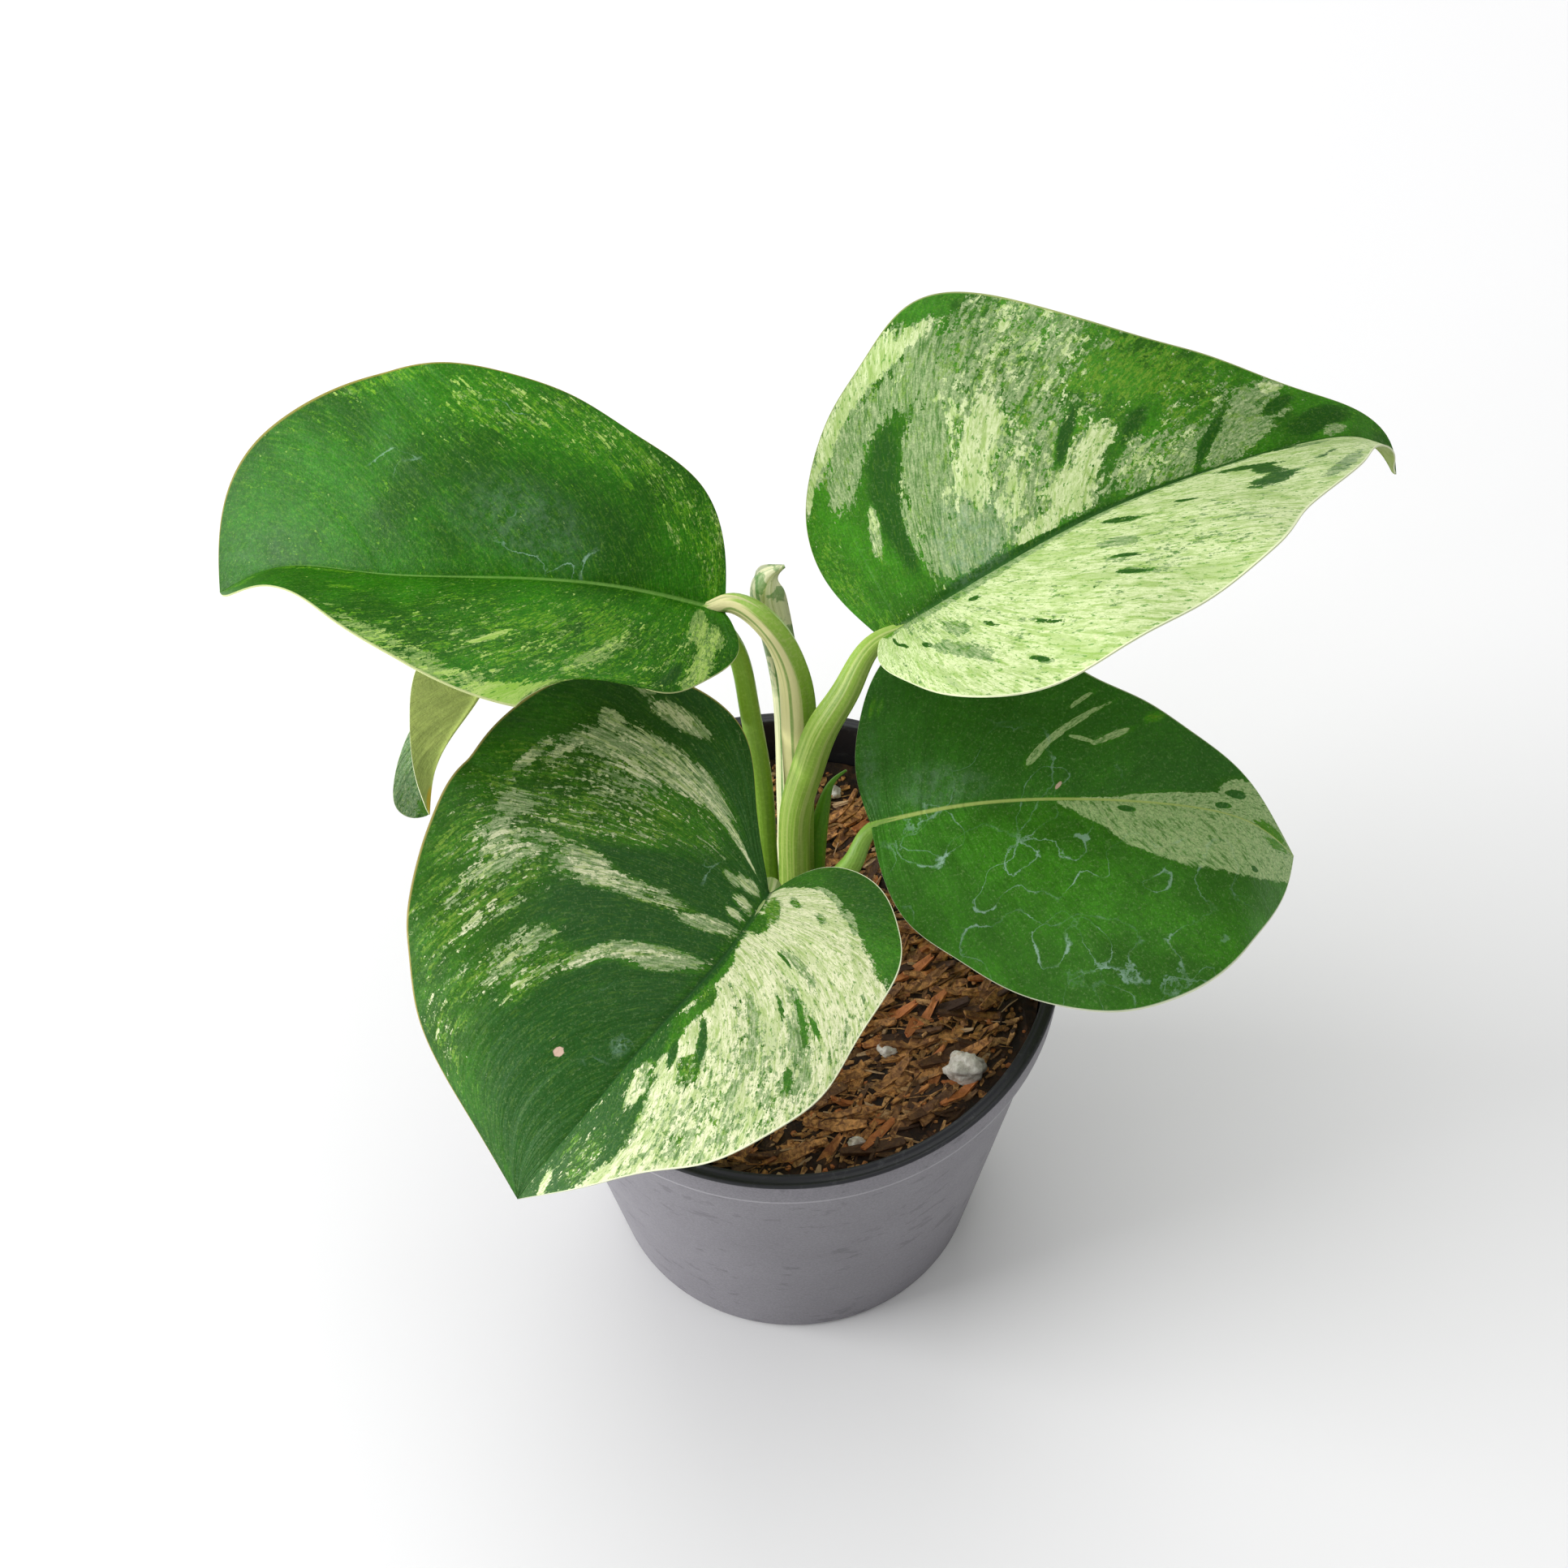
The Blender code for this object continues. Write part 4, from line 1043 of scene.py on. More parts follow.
@dataclass(frozen=True)
class GrainFinish:
    """A loose or rough stuff in two tones, with an accent.

    The scale is how many fibres fit in a metre. Where it is tinted, each loose bit has its own
    tint, and otherwise the accent lies in patches.
    """

    name: str
    dark: Colour
    light: Colour
    accent: Colour
    scale: float = 500.0
    roughness: float = 0.85
    tinted: bool = True

    def dress(self) -> bpy.types.Material:
        """Makes the material.

        Returns:
            The material.
        """
        skin = Skin(self.name)
        place = skin.place()
        fibre = skin.noise(place, self.scale, 5.0, 0.7, 0.6)
        colour = skin.mix(skin.smooth(fibre, 0.35, 0.68), self.dark, self.light)
        if self.tinted:
            tint = skin.attribute("tint", "Fac")
            colour = skin.mix(skin.smooth(tint, 0.0, 0.45), shade(self.dark, 0.3), colour)
            colour = skin.wash(colour, (tint, 0.8, 0.95, 0.75, self.accent))
        else:
            colour = skin.wash(colour, (skin.noise(place, 260.0, 3.0), 0.55, 0.7, 0.6, self.accent))
        skin.coat(Base_Color=colour, Roughness=fibre * 0.2 + (self.roughness - 0.1))
        skin.relief(fibre, 0.0006)
        return skin.material


# Blades


@dataclass(frozen=True)
class Half:
    """One side of a blade: its margin in fractions of the midrib, its fold and its curl.

    The fold is the rise off the midrib in degrees and the curl the bend down in degrees per
    centimetre, each at the stalk and at the tip. The wave is a ripple's height in millimetres
    and its count. The lean is how far the flecks slant off the rows of the mesh.
    """

    margin: tuple[Point, ...]
    fold: Point
    curl: Point
    wave: Point = (0.0, 1.0)
    lean: float = 0.0


@dataclass(frozen=True)
class Blade:
    """A heart-shaped blade, folded along a bent midrib and curled to its margins.

    The roll turns it about its midrib, in degrees at the stalk, the middle and the tip. The
    tuck rolls part of the left margin under: its middle and reach along the midrib, where
    it starts and its width across, all in fractions of the midrib, and how far it goes in and
    down in millimetres. Of the mesh, evenness says how evenly the rows leave the midrib, sweep
    how soon they head for the margin, bulge how wide they bow and crowding how close the
    columns stand at the midrib.
    """

    name: str
    node: str
    slot: str
    midrib: tuple[Point, ...]
    roll: Point
    left: Half
    right: Half
    marks: tuple[Patch | Sector, ...]
    finish: LeafFinish
    rows: int = 240
    columns: int = 70
    stations: int = 81
    evenness: float = 0.12
    sweep: float = 0.25
    bulge: float = 0.55
    crowding: float = 1.35
    thickness: float = 0.6
    thinning: float = 0.4
    rib_half_width: float = 0.95
    rib_end: float = 0.3
    rib_height: float = 1.4
    groove_depth: float = 0.4
    vein_count: int = 11
    vein_depth: float = 0.06
    tuck: Point = (0.0, 0.0, 0.2, 0.14, 0.0, 0.0)

    def route(self) -> tuple[np.ndarray, np.ndarray, np.ndarray]:
        """Follows the midrib.

        Returns:
            Its points, how far along each is, and which way it heads there.
        """
        path = smooth_line(self.midrib, self.stations)
        travelled = np.concatenate([[0.0], np.cumsum(np.linalg.norm(np.diff(path, axis=0), axis=1))])
        return path, travelled, np.gradient(path, travelled, axis=0)

    def stand(self, along: np.ndarray) -> tuple[np.ndarray, np.ndarray, np.ndarray]:
        """Finds the midrib at distances along it.

        Args:
            along: The distances, in millimetres.

        Returns:
            Where it is, and which ways the blade's left and its up point there.
        """
        path, travelled, headings = self.route()
        station = np.clip(along, 0.0, travelled[-1])
        foot = np.stack([np.interp(station, travelled, path[:, axis]) for axis in range(3)], -1)
        ahead = unit(np.stack([np.interp(station, travelled, headings[:, axis]) for axis in range(3)], -1))
        foot = foot + ahead * (along - station)[:, None]
        level_up = unit(np.array([0.0, 0.0, 1.0]) - ahead[:, 2:3] * ahead)
        level_left = np.cross(level_up, ahead)
        roll = np.radians(np.interp(station / travelled[-1], (0.0, 0.5, 1.0), self.roll))[:, None]
        up = np.cos(roll) * level_up + np.sin(roll) * level_left
        left = np.cos(roll) * level_left - np.sin(roll) * level_up
        return foot, left, up

    def bend(self, half: Half, side: int, along: np.ndarray, across: np.ndarray) -> np.ndarray:
        """Places flat blade points on the folded, curled blade.

        Args:
            half: The half that they belong to.
            side: 1 for the left half and -1 for the right.
            along: How far along the midrib they are.
            across: How far out from it.

        Returns:
            The points.
        """
        length = self.route()[1][-1]
        foot, left, up = self.stand(along)
        progress = np.clip(along, 0.0, length) / length
        fold = np.radians(np.interp(progress, (0.0, 1.0), half.fold))
        turn = np.radians(np.interp(progress, (0.0, 1.0), half.curl)) / 10.0 * across / 2
        chord = across * np.sinc(turn / math.pi)
        height, count = half.wave
        ripple = height * (4.0 * across / length) ** 2 * np.sin(2 * math.pi * count * along / length)
        rise = chord * np.sin(fold - turn) + ripple
        reach = chord * np.cos(fold - turn)
        middle, spread, start, width, inward, down = self.tuck
        if side > 0 and spread:
            bump = np.clip(1.0 - ((along / length - middle) / spread) ** 2, 0.0, 1.0) ** 0.75
            rolled = np.clip((across / length - start) / width, 0.0, 1.2) ** 2
            reach = reach - inward * bump * rolled
            rise = rise - down * bump * rolled
        return foot + side * left * reach[:, None] + up * rise[:, None]

    def half_sheet(self, half: Half, side: int) -> tuple[np.ndarray, np.ndarray]:
        """Lays out the middle surface of a half, in rows from the midrib to the margin.

        Args:
            half: The half.
            side: 1 for the left half and -1 for the right.

        Returns:
            The points, and for each its s, its v, how far along it is and how far across.
        """
        length = self.route()[1][-1]
        margin = smooth_line(((0.0, 0.0), *half.margin, (1.0, 0.0)), self.rows + 1)[1:-1]
        s = np.linspace(0.0, 1.0, self.rows + 1)[1:-1, None]
        t = np.linspace(0.0, 1.0, self.columns + 1)[None, :] ** self.crowding
        root = self.evenness * s + (1 - self.evenness) * s**3
        knee = root + self.sweep * (margin[:, :1] - root)
        along = length * ((1 - t) ** 2 * root + 2 * t * (1 - t) * knee + t**2 * margin[:, :1])
        across = length * (2 * t * (1 - t) * self.bulge + t**2) * margin[:, 1:2]
        grid = self.bend(half, side, along.ravel(), across.ravel()).reshape(*along.shape, 3)
        facts = np.stack([np.broadcast_to(s, along.shape), side * np.broadcast_to(t, along.shape), along / length,
                          across], -1)
        return grid, facts

    def paint(self, s: np.ndarray, v: np.ndarray) -> tuple[np.ndarray, np.ndarray]:
        """Lays the marks over one another.

        Args:
            s: The points' places along the margin.
            v: The points' places out from the midrib.

        Returns:
            The levels of each tissue and of each veil at the points.
        """
        tissue = np.broadcast_to(np.array(Tissue.GREEN.value), (*s.shape, 4)).copy()
        veil = np.zeros((*s.shape, 3))
        for mark in self.marks:
            cover = mark.cover(s, v)[..., None]
            if isinstance(mark.kind, Tissue):
                tissue += cover * (np.array(mark.kind.value) - tissue)
            else:
                veil = np.maximum(veil, cover * np.array(mark.kind.value))
        return tissue, veil

    def build(self) -> bpy.types.Object:
        """Makes the blade: two faces a thickness apart, with a groove above and a rib below.

        Returns:
            The piece.
        """
        left, left_facts = self.half_sheet(self.left, 1)
        right, right_facts = self.half_sheet(self.right, -1)
        sheet = np.concatenate([left[:, ::-1], right[:, 1:]], axis=1)
        facts = np.concatenate([left_facts[:, ::-1], right_facts[:, 1:]], axis=1)
        rows, wide = sheet.shape[:2]
        normal = unit(np.cross(np.gradient(sheet, axis=1), np.gradient(sheet, axis=0)))
        s, v, progress, across = np.moveaxis(facts, -1, 0)
        progress = np.clip(progress, 0.0, 1.0)
        q = s - np.where(v > 0, self.left.lean, self.right.lean) * np.abs(v)
        rib_width = self.rib_half_width * (1 - progress) + self.rib_end
        rib = np.exp(-((across / (1.2 * rib_width)) ** 2))
        ripple = np.cos(2 * math.pi * self.vein_count * q)
        veins = self.vein_depth * ripple * 2 * np.sqrt(np.abs(v) * (1 - np.abs(v)))
        half = self.thickness / 2 * (1 - self.thinning * np.abs(v) ** 8)
        above = half - self.groove_depth * (1.1 - progress) * rib - veins
        below = half + (self.rib_height * (1 - progress) ** 1.3 + 0.2) * rib + veins
        ends = [(np.array(self.midrib[row]), normal[row].mean(0), row) for row in (0, -1)]
        points = []
        for lift, way in ((above, 1.0), (below, -1.0)):
            points.append((sheet + way * normal * lift[..., None]).reshape(-1, 3))
            points.append(np.array([end + way * unit(up) * half[row, 0] for end, up, row in ends]))
        mesh = bpy.data.meshes.new(self.name)
        faces, lower = self._faces(rows, wide, rows * wide + 2)
        mesh.from_pydata((np.vstack(points) * MM).tolist(), [], faces)
        mesh.polygons.foreach_set("material_index", lower)
        tissue, veil = self.paint(s, v)
        middle = wide // 2
        for name, values, kind in (("vein", np.stack([q, v, across / rib_width], -1), "FLOAT_VECTOR"),
                                   ("tissue", tissue, "FLOAT_COLOR"), ("veil", veil, "FLOAT_VECTOR")):
            face = np.vstack([values.reshape(-1, values.shape[-1]), values[0, middle], values[-1, middle]])
            store(mesh, name, np.vstack([face, face]), kind)
        mesh.materials.append(self.finish.upper())
        mesh.materials.append(self.finish.lower())
        mesh.shade_smooth()
        mesh.set_sharp_from_angle(angle=math.radians(60.0))
        return settle(add_object(self.name, mesh), self.slot, self.node)

    @staticmethod
    def _faces(rows: int, wide: int, size: int) -> tuple[list[tuple[int, ...]], list[int]]:
        """The faces of a closed blade, and the material of each.

        Args:
            rows: How many rows each face's grid has.
            wide: How many points a row has.
            size: How many points a face has, with the two ends.

        Returns:
            The faces and their material numbers.
        """
        stalk, tip = size - 2, size - 1
        top = []
        for row in range(rows - 1):
            for column in range(wide - 1):
                a = row * wide + column
                top.append((a, a + 1, a + 1 + wide, a + wide))
        last = (rows - 1) * wide
        for column in range(wide - 1):
            top.append((stalk, column + 1, column))
            top.append((last + column, last + column + 1, tip))
        bottom = [tuple(index + size for index in reversed(face)) for face in top]
        loop = [stalk, *(row * wide for row in range(rows)), tip,
                *(row * wide + wide - 1 for row in reversed(range(rows)))]
        rim = [(a, b, b + size, a + size) for a, b in zip(loop, loop[1:] + loop[:1])]
        return top + bottom + rim, [0] * len(top) + [1] * len(bottom) + [0] * len(rim)


BLADES = (
    Blade(
        "blade_left", "leaf_left", "leaf_green",
        ((-10.8, 38, 178), (-31, 41, 183), (-58, 45, 182.5), (-86, 52, 176), (-105, 60, 168), (-120, 63, 155)),
        (11, 10, 14),
        Half(((-0.03, 0.1), (0.025, 0.19), (0.11, 0.28), (0.21, 0.33), (0.32, 0.335), (0.42, 0.302), (0.52, 0.24),
              (0.61, 0.179), (0.70, 0.121), (0.81, 0.086), (0.91, 0.07)), (28, 44), (3.4, 3.4), (0.25, 2.2)),
        Half(((0.03, 0.11), (0.09, 0.2), (0.19, 0.26), (0.29, 0.32), (0.39, 0.354), (0.5, 0.372), (0.61, 0.366),
              (0.72, 0.335), (0.81, 0.27), (0.882, 0.19), (0.942, 0.1)), (26, 30), (2.9, 2.9), (0.2, 2.6)),
        LEFT_MARKS,
        LeafFinish("leaf_left", green=(0.019, 0.139, 0.001), lime=(0.17, 0.38, 0.016), sage=(0.20, 0.34, 0.085),
            cream=(0.42, 0.55, 0.16), rib=(0.16, 0.34, 0.06), rib_strength=0.7, rib_width=0.3,
            right_edge=(0.25, 0.22, 0.04), left_edge=(0.45, 0.50, 0.22), fleck=0.6, seed=1.0),
        tuck=(0.14, 0.165, 0.2, 0.14, 13.0, 5.0),
    ),
    Blade(
        "blade_right", "leaf_right", "leaf_marbled",
        ((21.3, 30, 178), (41, 38, 186), (66, 50, 191), (94, 64, 188), (114.5, 75.5, 180.5), (131, 82.8, 168),
         (135.5, 82, 159.5)),
        (13, 11, 5),
        Half(((-0.03, 0.12), (-0.01, 0.23), (0.07, 0.33), (0.16, 0.4), (0.27, 0.44), (0.37, 0.45), (0.46, 0.36),
              (0.55, 0.265), (0.65, 0.195), (0.74, 0.12), (0.84, 0.065), (0.94, 0.028)), (29, 29), (3.5, 3.5),
             (0.5, 4.3), 0.03),
        Half(((-0.01, 0.11), (0.02, 0.22), (0.07, 0.33), (0.15, 0.4), (0.26, 0.42), (0.37, 0.39), (0.48, 0.34),
              (0.56, 0.26), (0.66, 0.2), (0.75, 0.14), (0.84, 0.075), (0.94, 0.034)), (31, 29), (3.2, 3.2),
             (0.45, 4.7)),
        RIGHT_MARKS,
        LeafFinish("leaf_right", green=(0.034, 0.182, 0.003), deep=(0.010, 0.078, 0.002), sage=(0.22, 0.34, 0.13),
            lime=(0.18, 0.35, 0.025), cream=(0.64, 0.72, 0.40), rib=(0.02, 0.09, 0.01), rib_strength=0.75,
            rib_width=0.5, left_edge=(0.30, 0.36, 0.12), right_edge=(0.70, 0.76, 0.48), fleck=0.6, seed=20.0,
            ragged=0.95),
    ),
    Blade(
        "blade_front", "leaf_front", "leaf_marbled",
        ((-3.3, -11.3, 146), (-13, -27.4, 147.6), (-27, -43.3, 146), (-40.5, -56, 138), (-50, -62.6, 128.5),
         (-57, -66, 117.5)),
        (3, 2, 2),
        Half(((-0.12, 0.1), (-0.115, 0.22), (-0.015, 0.33), (0.1, 0.39), (0.23, 0.4), (0.36, 0.43), (0.48, 0.4),
              (0.59, 0.33), (0.68, 0.23), (0.78, 0.15), (0.89, 0.07)), (16, 16), (2.2, 2.2), (0.3, 2.6), 0.08),
        Half(((-0.19, 0.145), (-0.345, 0.275), (-0.36, 0.46), (-0.255, 0.635), (-0.065, 0.74), (0.15, 0.755),
              (0.36, 0.745), (0.55, 0.658), (0.73, 0.55), (0.88, 0.405), (0.95, 0.2)), (18, 17), (1.4, 1.4),
             (0.05, 3.6), 0.33),
        FRONT_MARKS,
        LeafFinish("leaf_front", green=(0.032, 0.150, 0.006), deep=(0.017, 0.087, 0.013), rib=(0.014, 0.07, 0.012),
            cream=(0.74, 0.74, 0.50), lime=(0.20, 0.35, 0.04), sage=(0.25, 0.37, 0.15), rib_width=0.4,
            left_edge=(0.72, 0.76, 0.52), right_edge=(0.36, 0.30, 0.09), seed=40.0, ragged=0.94),
    ),
    Blade(
        "blade_low", "leaf_low", "leaf_green",
        ((18.6, 11, 136), (36.6, 12, 140.5), (59.7, 11.4, 143), (83, 11, 140), (99, 11, 132.6), (110, 10, 119.5)),
        (-10, -9, -8),
        Half(((-0.01, 0.12), (0.02, 0.24), (0.07, 0.34), (0.17, 0.42), (0.28, 0.42), (0.38, 0.36), (0.48, 0.28),
              (0.59, 0.23), (0.69, 0.172), (0.79, 0.112), (0.89, 0.045)), (9, 8), (4.1, 4.1), (0.2, 2.4)),
        Half(((0.01, 0.13), (0.05, 0.25), (0.14, 0.34), (0.25, 0.41), (0.37, 0.46), (0.5, 0.48), (0.62, 0.45),
              (0.73, 0.39), (0.83, 0.3), (0.92, 0.2), (0.975, 0.1)), (9, 10), (4.0, 4.0), (0.2, 2.8)),
        LOW_MARKS,
        LeafFinish("leaf_low", green=(0.050, 0.232, 0.009), deep=(0.035, 0.148, 0.021), sage=(0.37, 0.54, 0.22),
            rib=(0.42, 0.52, 0.14), rib_strength=0.9, rib_width=0.3, ragged=0.4, left_edge=(0.40, 0.48, 0.26),
            right_edge=(0.70, 0.74, 0.54), fleck=0.25, seed=60.0),
    ),
    Blade(
        "blade_hanging", "leaf_hanging", "leaf_underside",
        ((-61, 53, 156), (-61.7, 52.1, 146.4), (-63.8, 50.9, 137.3), (-69.2, 48.2, 127.3), (-74.6, 45.6, 118.5),
         (-78, 42.9, 109.6), (-79.6, 39.4, 100.3)),
        (-42, -42, -42),
        Half(((-0.02, 0.1), (0.1, 0.2), (0.28, 0.26), (0.45, 0.24), (0.6, 0.17), (0.74, 0.1), (0.87, 0.05)),
             (66, 78), (1.5, 3.0), (0.1, 2.0)),
        Half(((-0.02, 0.08), (0.1, 0.15), (0.3, 0.17), (0.5, 0.15), (0.7, 0.14), (0.86, 0.135), (0.97, 0.115),
              (1.01, 0.05)), (62, 70), (0.5, 1.5), (0.1, 2.0)),
        HANGING_MARKS,
        LeafFinish("leaf_hanging", green=(0.06, 0.21, 0.03), sage=(0.20, 0.34, 0.17), under=(0.56, 0.67, 0.18),
            left_edge=(0.70, 0.72, 0.50), ripe=0.8, seed=80.0), rib_half_width=0.6, rib_height=0.5,
    ),
)


# Stalks


# The half width of a stem's groove, and how far from its middle the seams run and how wide they are,
# in turns round the stem.
GROOVE_WIDTH, SEAM_PLACE, SEAM_WIDTH = 0.14, 0.17, 0.035

# Where a stalk runs on under its midrib: how far along the blade, how far under and its radius there.
RUN_ON = ((0.035, 1.35, 1.35), (0.08, 1.15, 1.0), (0.13, 0.9, 0.45))


class StalkRecipe(Recipe):
    """A stem: a ring with a groove and a raised seam, carried along a centre line."""

    def __init__(self) -> None:
        """Builds the tree."""
        super().__init__("Stalk")
        sides, groove, seam, turn, surface = self.ask(
            Sides="Int", Groove_depth="Float", Seam_height="Float", Turn="Float", Surface="Material")
        line = self.node("GeometryNodeMeshToCurve", {0: self.source()})
        line = self.keep(line, "along", self.node("GeometryNodeSplineParameter"))
        ring = self.node("GeometryNodeCurvePrimitiveCircle", {"Resolution": sides, "Radius": MM}, mode="RADIUS")
        place = self.node("GeometryNodeInputPosition")
        out = self.node("ShaderNodeVectorMath", {0: place}, operation="NORMALIZE")
        ring = self.keep(ring, "ring", out, "FLOAT_VECTOR")
        factor = self.node("GeometryNodeSplineParameter")
        away = self.maths("ABSOLUTE", factor - 0.5)
        dent = (1.0 - self.smooth(away, 0.0, GROOVE_WIDTH)) * groove
        ridge = (1.0 - self.smooth(self.maths("ABSOLUTE", away - SEAM_PLACE), 0.0, SEAM_WIDTH)) * seam
        shift = self.node("ShaderNodeVectorMath", {0: out, "Scale": ridge - dent}, operation="SCALE")
        ring = self.node("GeometryNodeSetPosition", {"Geometry": ring, "Offset": shift})
        spin = self.vector(0.0, 0.0, turn * (2 * math.pi))
        ring = self.node("GeometryNodeTransform", {"Geometry": ring, "Rotation": spin})
        girth = self.node("GeometryNodeInputNamedAttribute", {"Name": "girth"}, data_type="FLOAT")
        tube = self.node("GeometryNodeCurveToMesh",
                         {"Curve": line, "Profile Curve": ring, "Scale": girth, "Fill Caps": True})
        self.close(self.node("GeometryNodeSetShadeSmooth", {"Geometry": tube}), surface)


@dataclass(frozen=True)
class Stalk:
    """A stem from the crown up, which runs on under the midrib of its blade.

    The foot is where it stands on the crown and the line its centre from there on. The radii
    are at the foot and at each point of the line. The turn brings its groove round, in turns,
    and pale_way is the way that its pale side faces.
    """

    name: str
    node: str
    slot: str
    foot: Point
    line: tuple[Point, ...]
    radii: Point
    finish: StalkFinish
    blade: str = ""
    turn: float = 0.0
    groove: float = 0.12
    seam: float = 0.0
    sides: int = 40
    steps: int = 110
    root_depth: float = 4.5
    crown_top: float = 97.5
    lead_in: float = 2.8
    thinnest: float = 0.15
    pale_way: Point = (-0.85, -0.2, -0.5)

    def build(self, recipe: StalkRecipe, blades: dict[str, Blade]) -> bpy.types.Object:
        """Makes the stem, with how far each point of it faces its pale side.

        Args:
            recipe: The geometry tree that all stems share.
            blades: The blades by name.

        Returns:
            The piece.
        """
        points = [(*self.foot, self.crown_top - self.root_depth, self.radii[0]),
                  (*self.foot, self.crown_top + self.lead_in, self.radii[0])]
        points += [(*point, radius) for point, radius in zip(self.line, self.radii[1:])]
        if self.blade:
            blade = blades[self.blade]
            length = blade.route()[1][-1]
            foot, _, up = blade.stand(np.array([share for share, _, _ in RUN_ON]) * length)
            for place, lift, (_, drop, radius) in zip(foot, up, RUN_ON):
                points.append((*(place - lift * drop), radius))
        line = smooth_line(points, self.steps)
        source = polyline(self.name, line[:, :3], np.maximum(line[:, 3], self.thinnest))
        piece = recipe.make(self.name, source, Sides=self.sides, Groove_depth=self.groove * MM,
                            Seam_height=self.seam * MM, Turn=self.turn, Surface=self.finish.dress())
        way = Vector(self.pale_way)
        store(piece.data, "facing", [vertex.normal.dot(way) for vertex in piece.data.vertices])
        return settle(piece, self.slot, self.node)


STALKS = (
    Stalk("stalk_right", "petiole_right", "stalk", (2.5, 8.5),
          ((2.5, 9.2, 104), (2.6, 13, 118), (3.4, 17.5, 134), (5.8, 19.3, 145), (9.9, 21.3, 160), (14.6, 24, 168.9),
           (21, 29.7, 177.3)), (2.9, 3.0, 3.0, 3.0, 3.1, 3.0, 2.6, 1.8),
          StalkFinish("stalk_right_green", green=(0.24, 0.41, 0.04), pale=(0.54, 0.62, 0.18), dark=(0.09, 0.20, 0.02),
              pale_level=0.16, line_count=4.5, seed=3.0), "blade_right", turn=0.3, seam=0.3, groove=0.25),
    Stalk("stalk_left", "petiole_left", "stalk", (3.4, 14.8),
          ((3.4, 15.8, 104), (3.4, 20.5, 118), (3.6, 25.3, 136), (3.7, 28.4, 149), (3.4, 31, 161), (1.1, 33.5, 171.2),
           (-4.2, 36.9, 178.2), (-10.2, 39.4, 179.0)), (2.8, 2.8, 2.9, 3.2, 3.6, 3.5, 3.1, 2.8, 2.1),
          StalkFinish("stalk_left_cream", green=(0.26, 0.45, 0.045), pale=(0.74, 0.70, 0.34),
              dark=(0.10, 0.26, 0.02), pale_level=0.46, pale_side=1.2, line_level=0.75, seed=7.0),
          "blade_left", turn=0.1, seam=0.25),
    Stalk("stalk_hanging", "petiole_hanging", "stalk", (-3.4, 11.6),
          ((-3.4, 12.4, 104), (-3.6, 17, 116), (-4.2, 24, 134), (-6.6, 31.5, 155), (-10, 38.5, 167), (-22, 46, 172),
           (-38, 51, 171), (-52, 53.5, 165), (-59.9, 53.8, 158.2)),
          (2.5, 2.5, 2.4, 2.4, 2.3, 2.2, 2.1, 2.0, 1.9, 1.6),
          StalkFinish("stalk_hanging_green", green=(0.19, 0.365, 0.014), pale=(0.40, 0.54, 0.10),
              dark=(0.09, 0.22, 0.01), pale_level=0.0, seed=11.0), "blade_hanging"),
    Stalk("stalk_low", "petiole_low", "stalk", (8.4, 10.4),
          ((8.6, 10, 103), (9.6, 8.2, 112), (12.4, 7.3, 122), (15.4, 7.7, 128.4), (18.9, 10.7, 134.5)),
          (2.5, 2.5, 2.4, 2.4, 2.2, 1.6),
          StalkFinish("stalk_low_green", green=(0.24, 0.46, 0.05), pale=(0.48, 0.62, 0.16), dark=(0.11, 0.26, 0.03),
              pale_level=0.05, seed=15.0), "blade_low", turn=0.4, seam=0.3),
    Stalk("stalk_front", "petiole_front", "stalk", (-2.6, 5.4),
          ((-2.6, 4.9, 104), (-2.8, 2, 118), (-3, -2.5, 132), (-3.3, -8, 141.4), (-3.9, -11.9, 144.2)),
          (2.5, 2.5, 2.4, 2.3, 2.1, 1.5), StalkFinish("stalk_front_green", seed=19.0), "blade_front"),
    Stalk("rolled_leaf", "young_leaf", "young_growth", (-0.8, 17.5),
          ((0.2, 20, 106), (1.2, 27, 122), (1.3, 33.5, 138), (0.8, 38, 152), (-0.7, 41.2, 164), (-2.0, 43.3, 171.5),
           (-2.6, 44.3, 176.4), (-2.1, 45.0, 179.3), (-0.8, 45.3, 181.2), (1.9, 45.5, 182.8)),
          (2.2, 2.3, 2.5, 2.5, 2.6, 2.8, 3.0, 2.9, 2.2, 1.2, 0.25),
          StalkFinish("young_cream", green=(0.50, 0.55, 0.20), pale=(0.82, 0.82, 0.52), dark=(0.09, 0.27, 0.04),
              pale_level=0.35, line_level=0.85, blotch=0.75, seed=23.0), turn=0.2, seam=0.6, groove=0.35),
    Stalk("new_shoot", "sprout", "young_growth", (6.6, 16.9),
          ((6.7, 18.2, 103), (7.7, 22.7, 114), (9.3, 26.3, 122), (11.4, 28.4, 127), (14, 29.4, 129)),
          (2.0, 2.2, 2.1, 1.4, 0.55, 0.25),
          StalkFinish("shoot_green", green=(0.15, 0.40, 0.02), pale=(0.40, 0.56, 0.08), pale_level=-0.05,
              seed=27.0), seam=0.3),
)


# Pot

# The steps of a rounded corner, how near two points are made one, and the cutters of the drain holes.
FILLET_STEPS, WELD, CUTTER_SIDES, CUTTER_DEPTH = 2, 1e-6, 32, 20 * MM


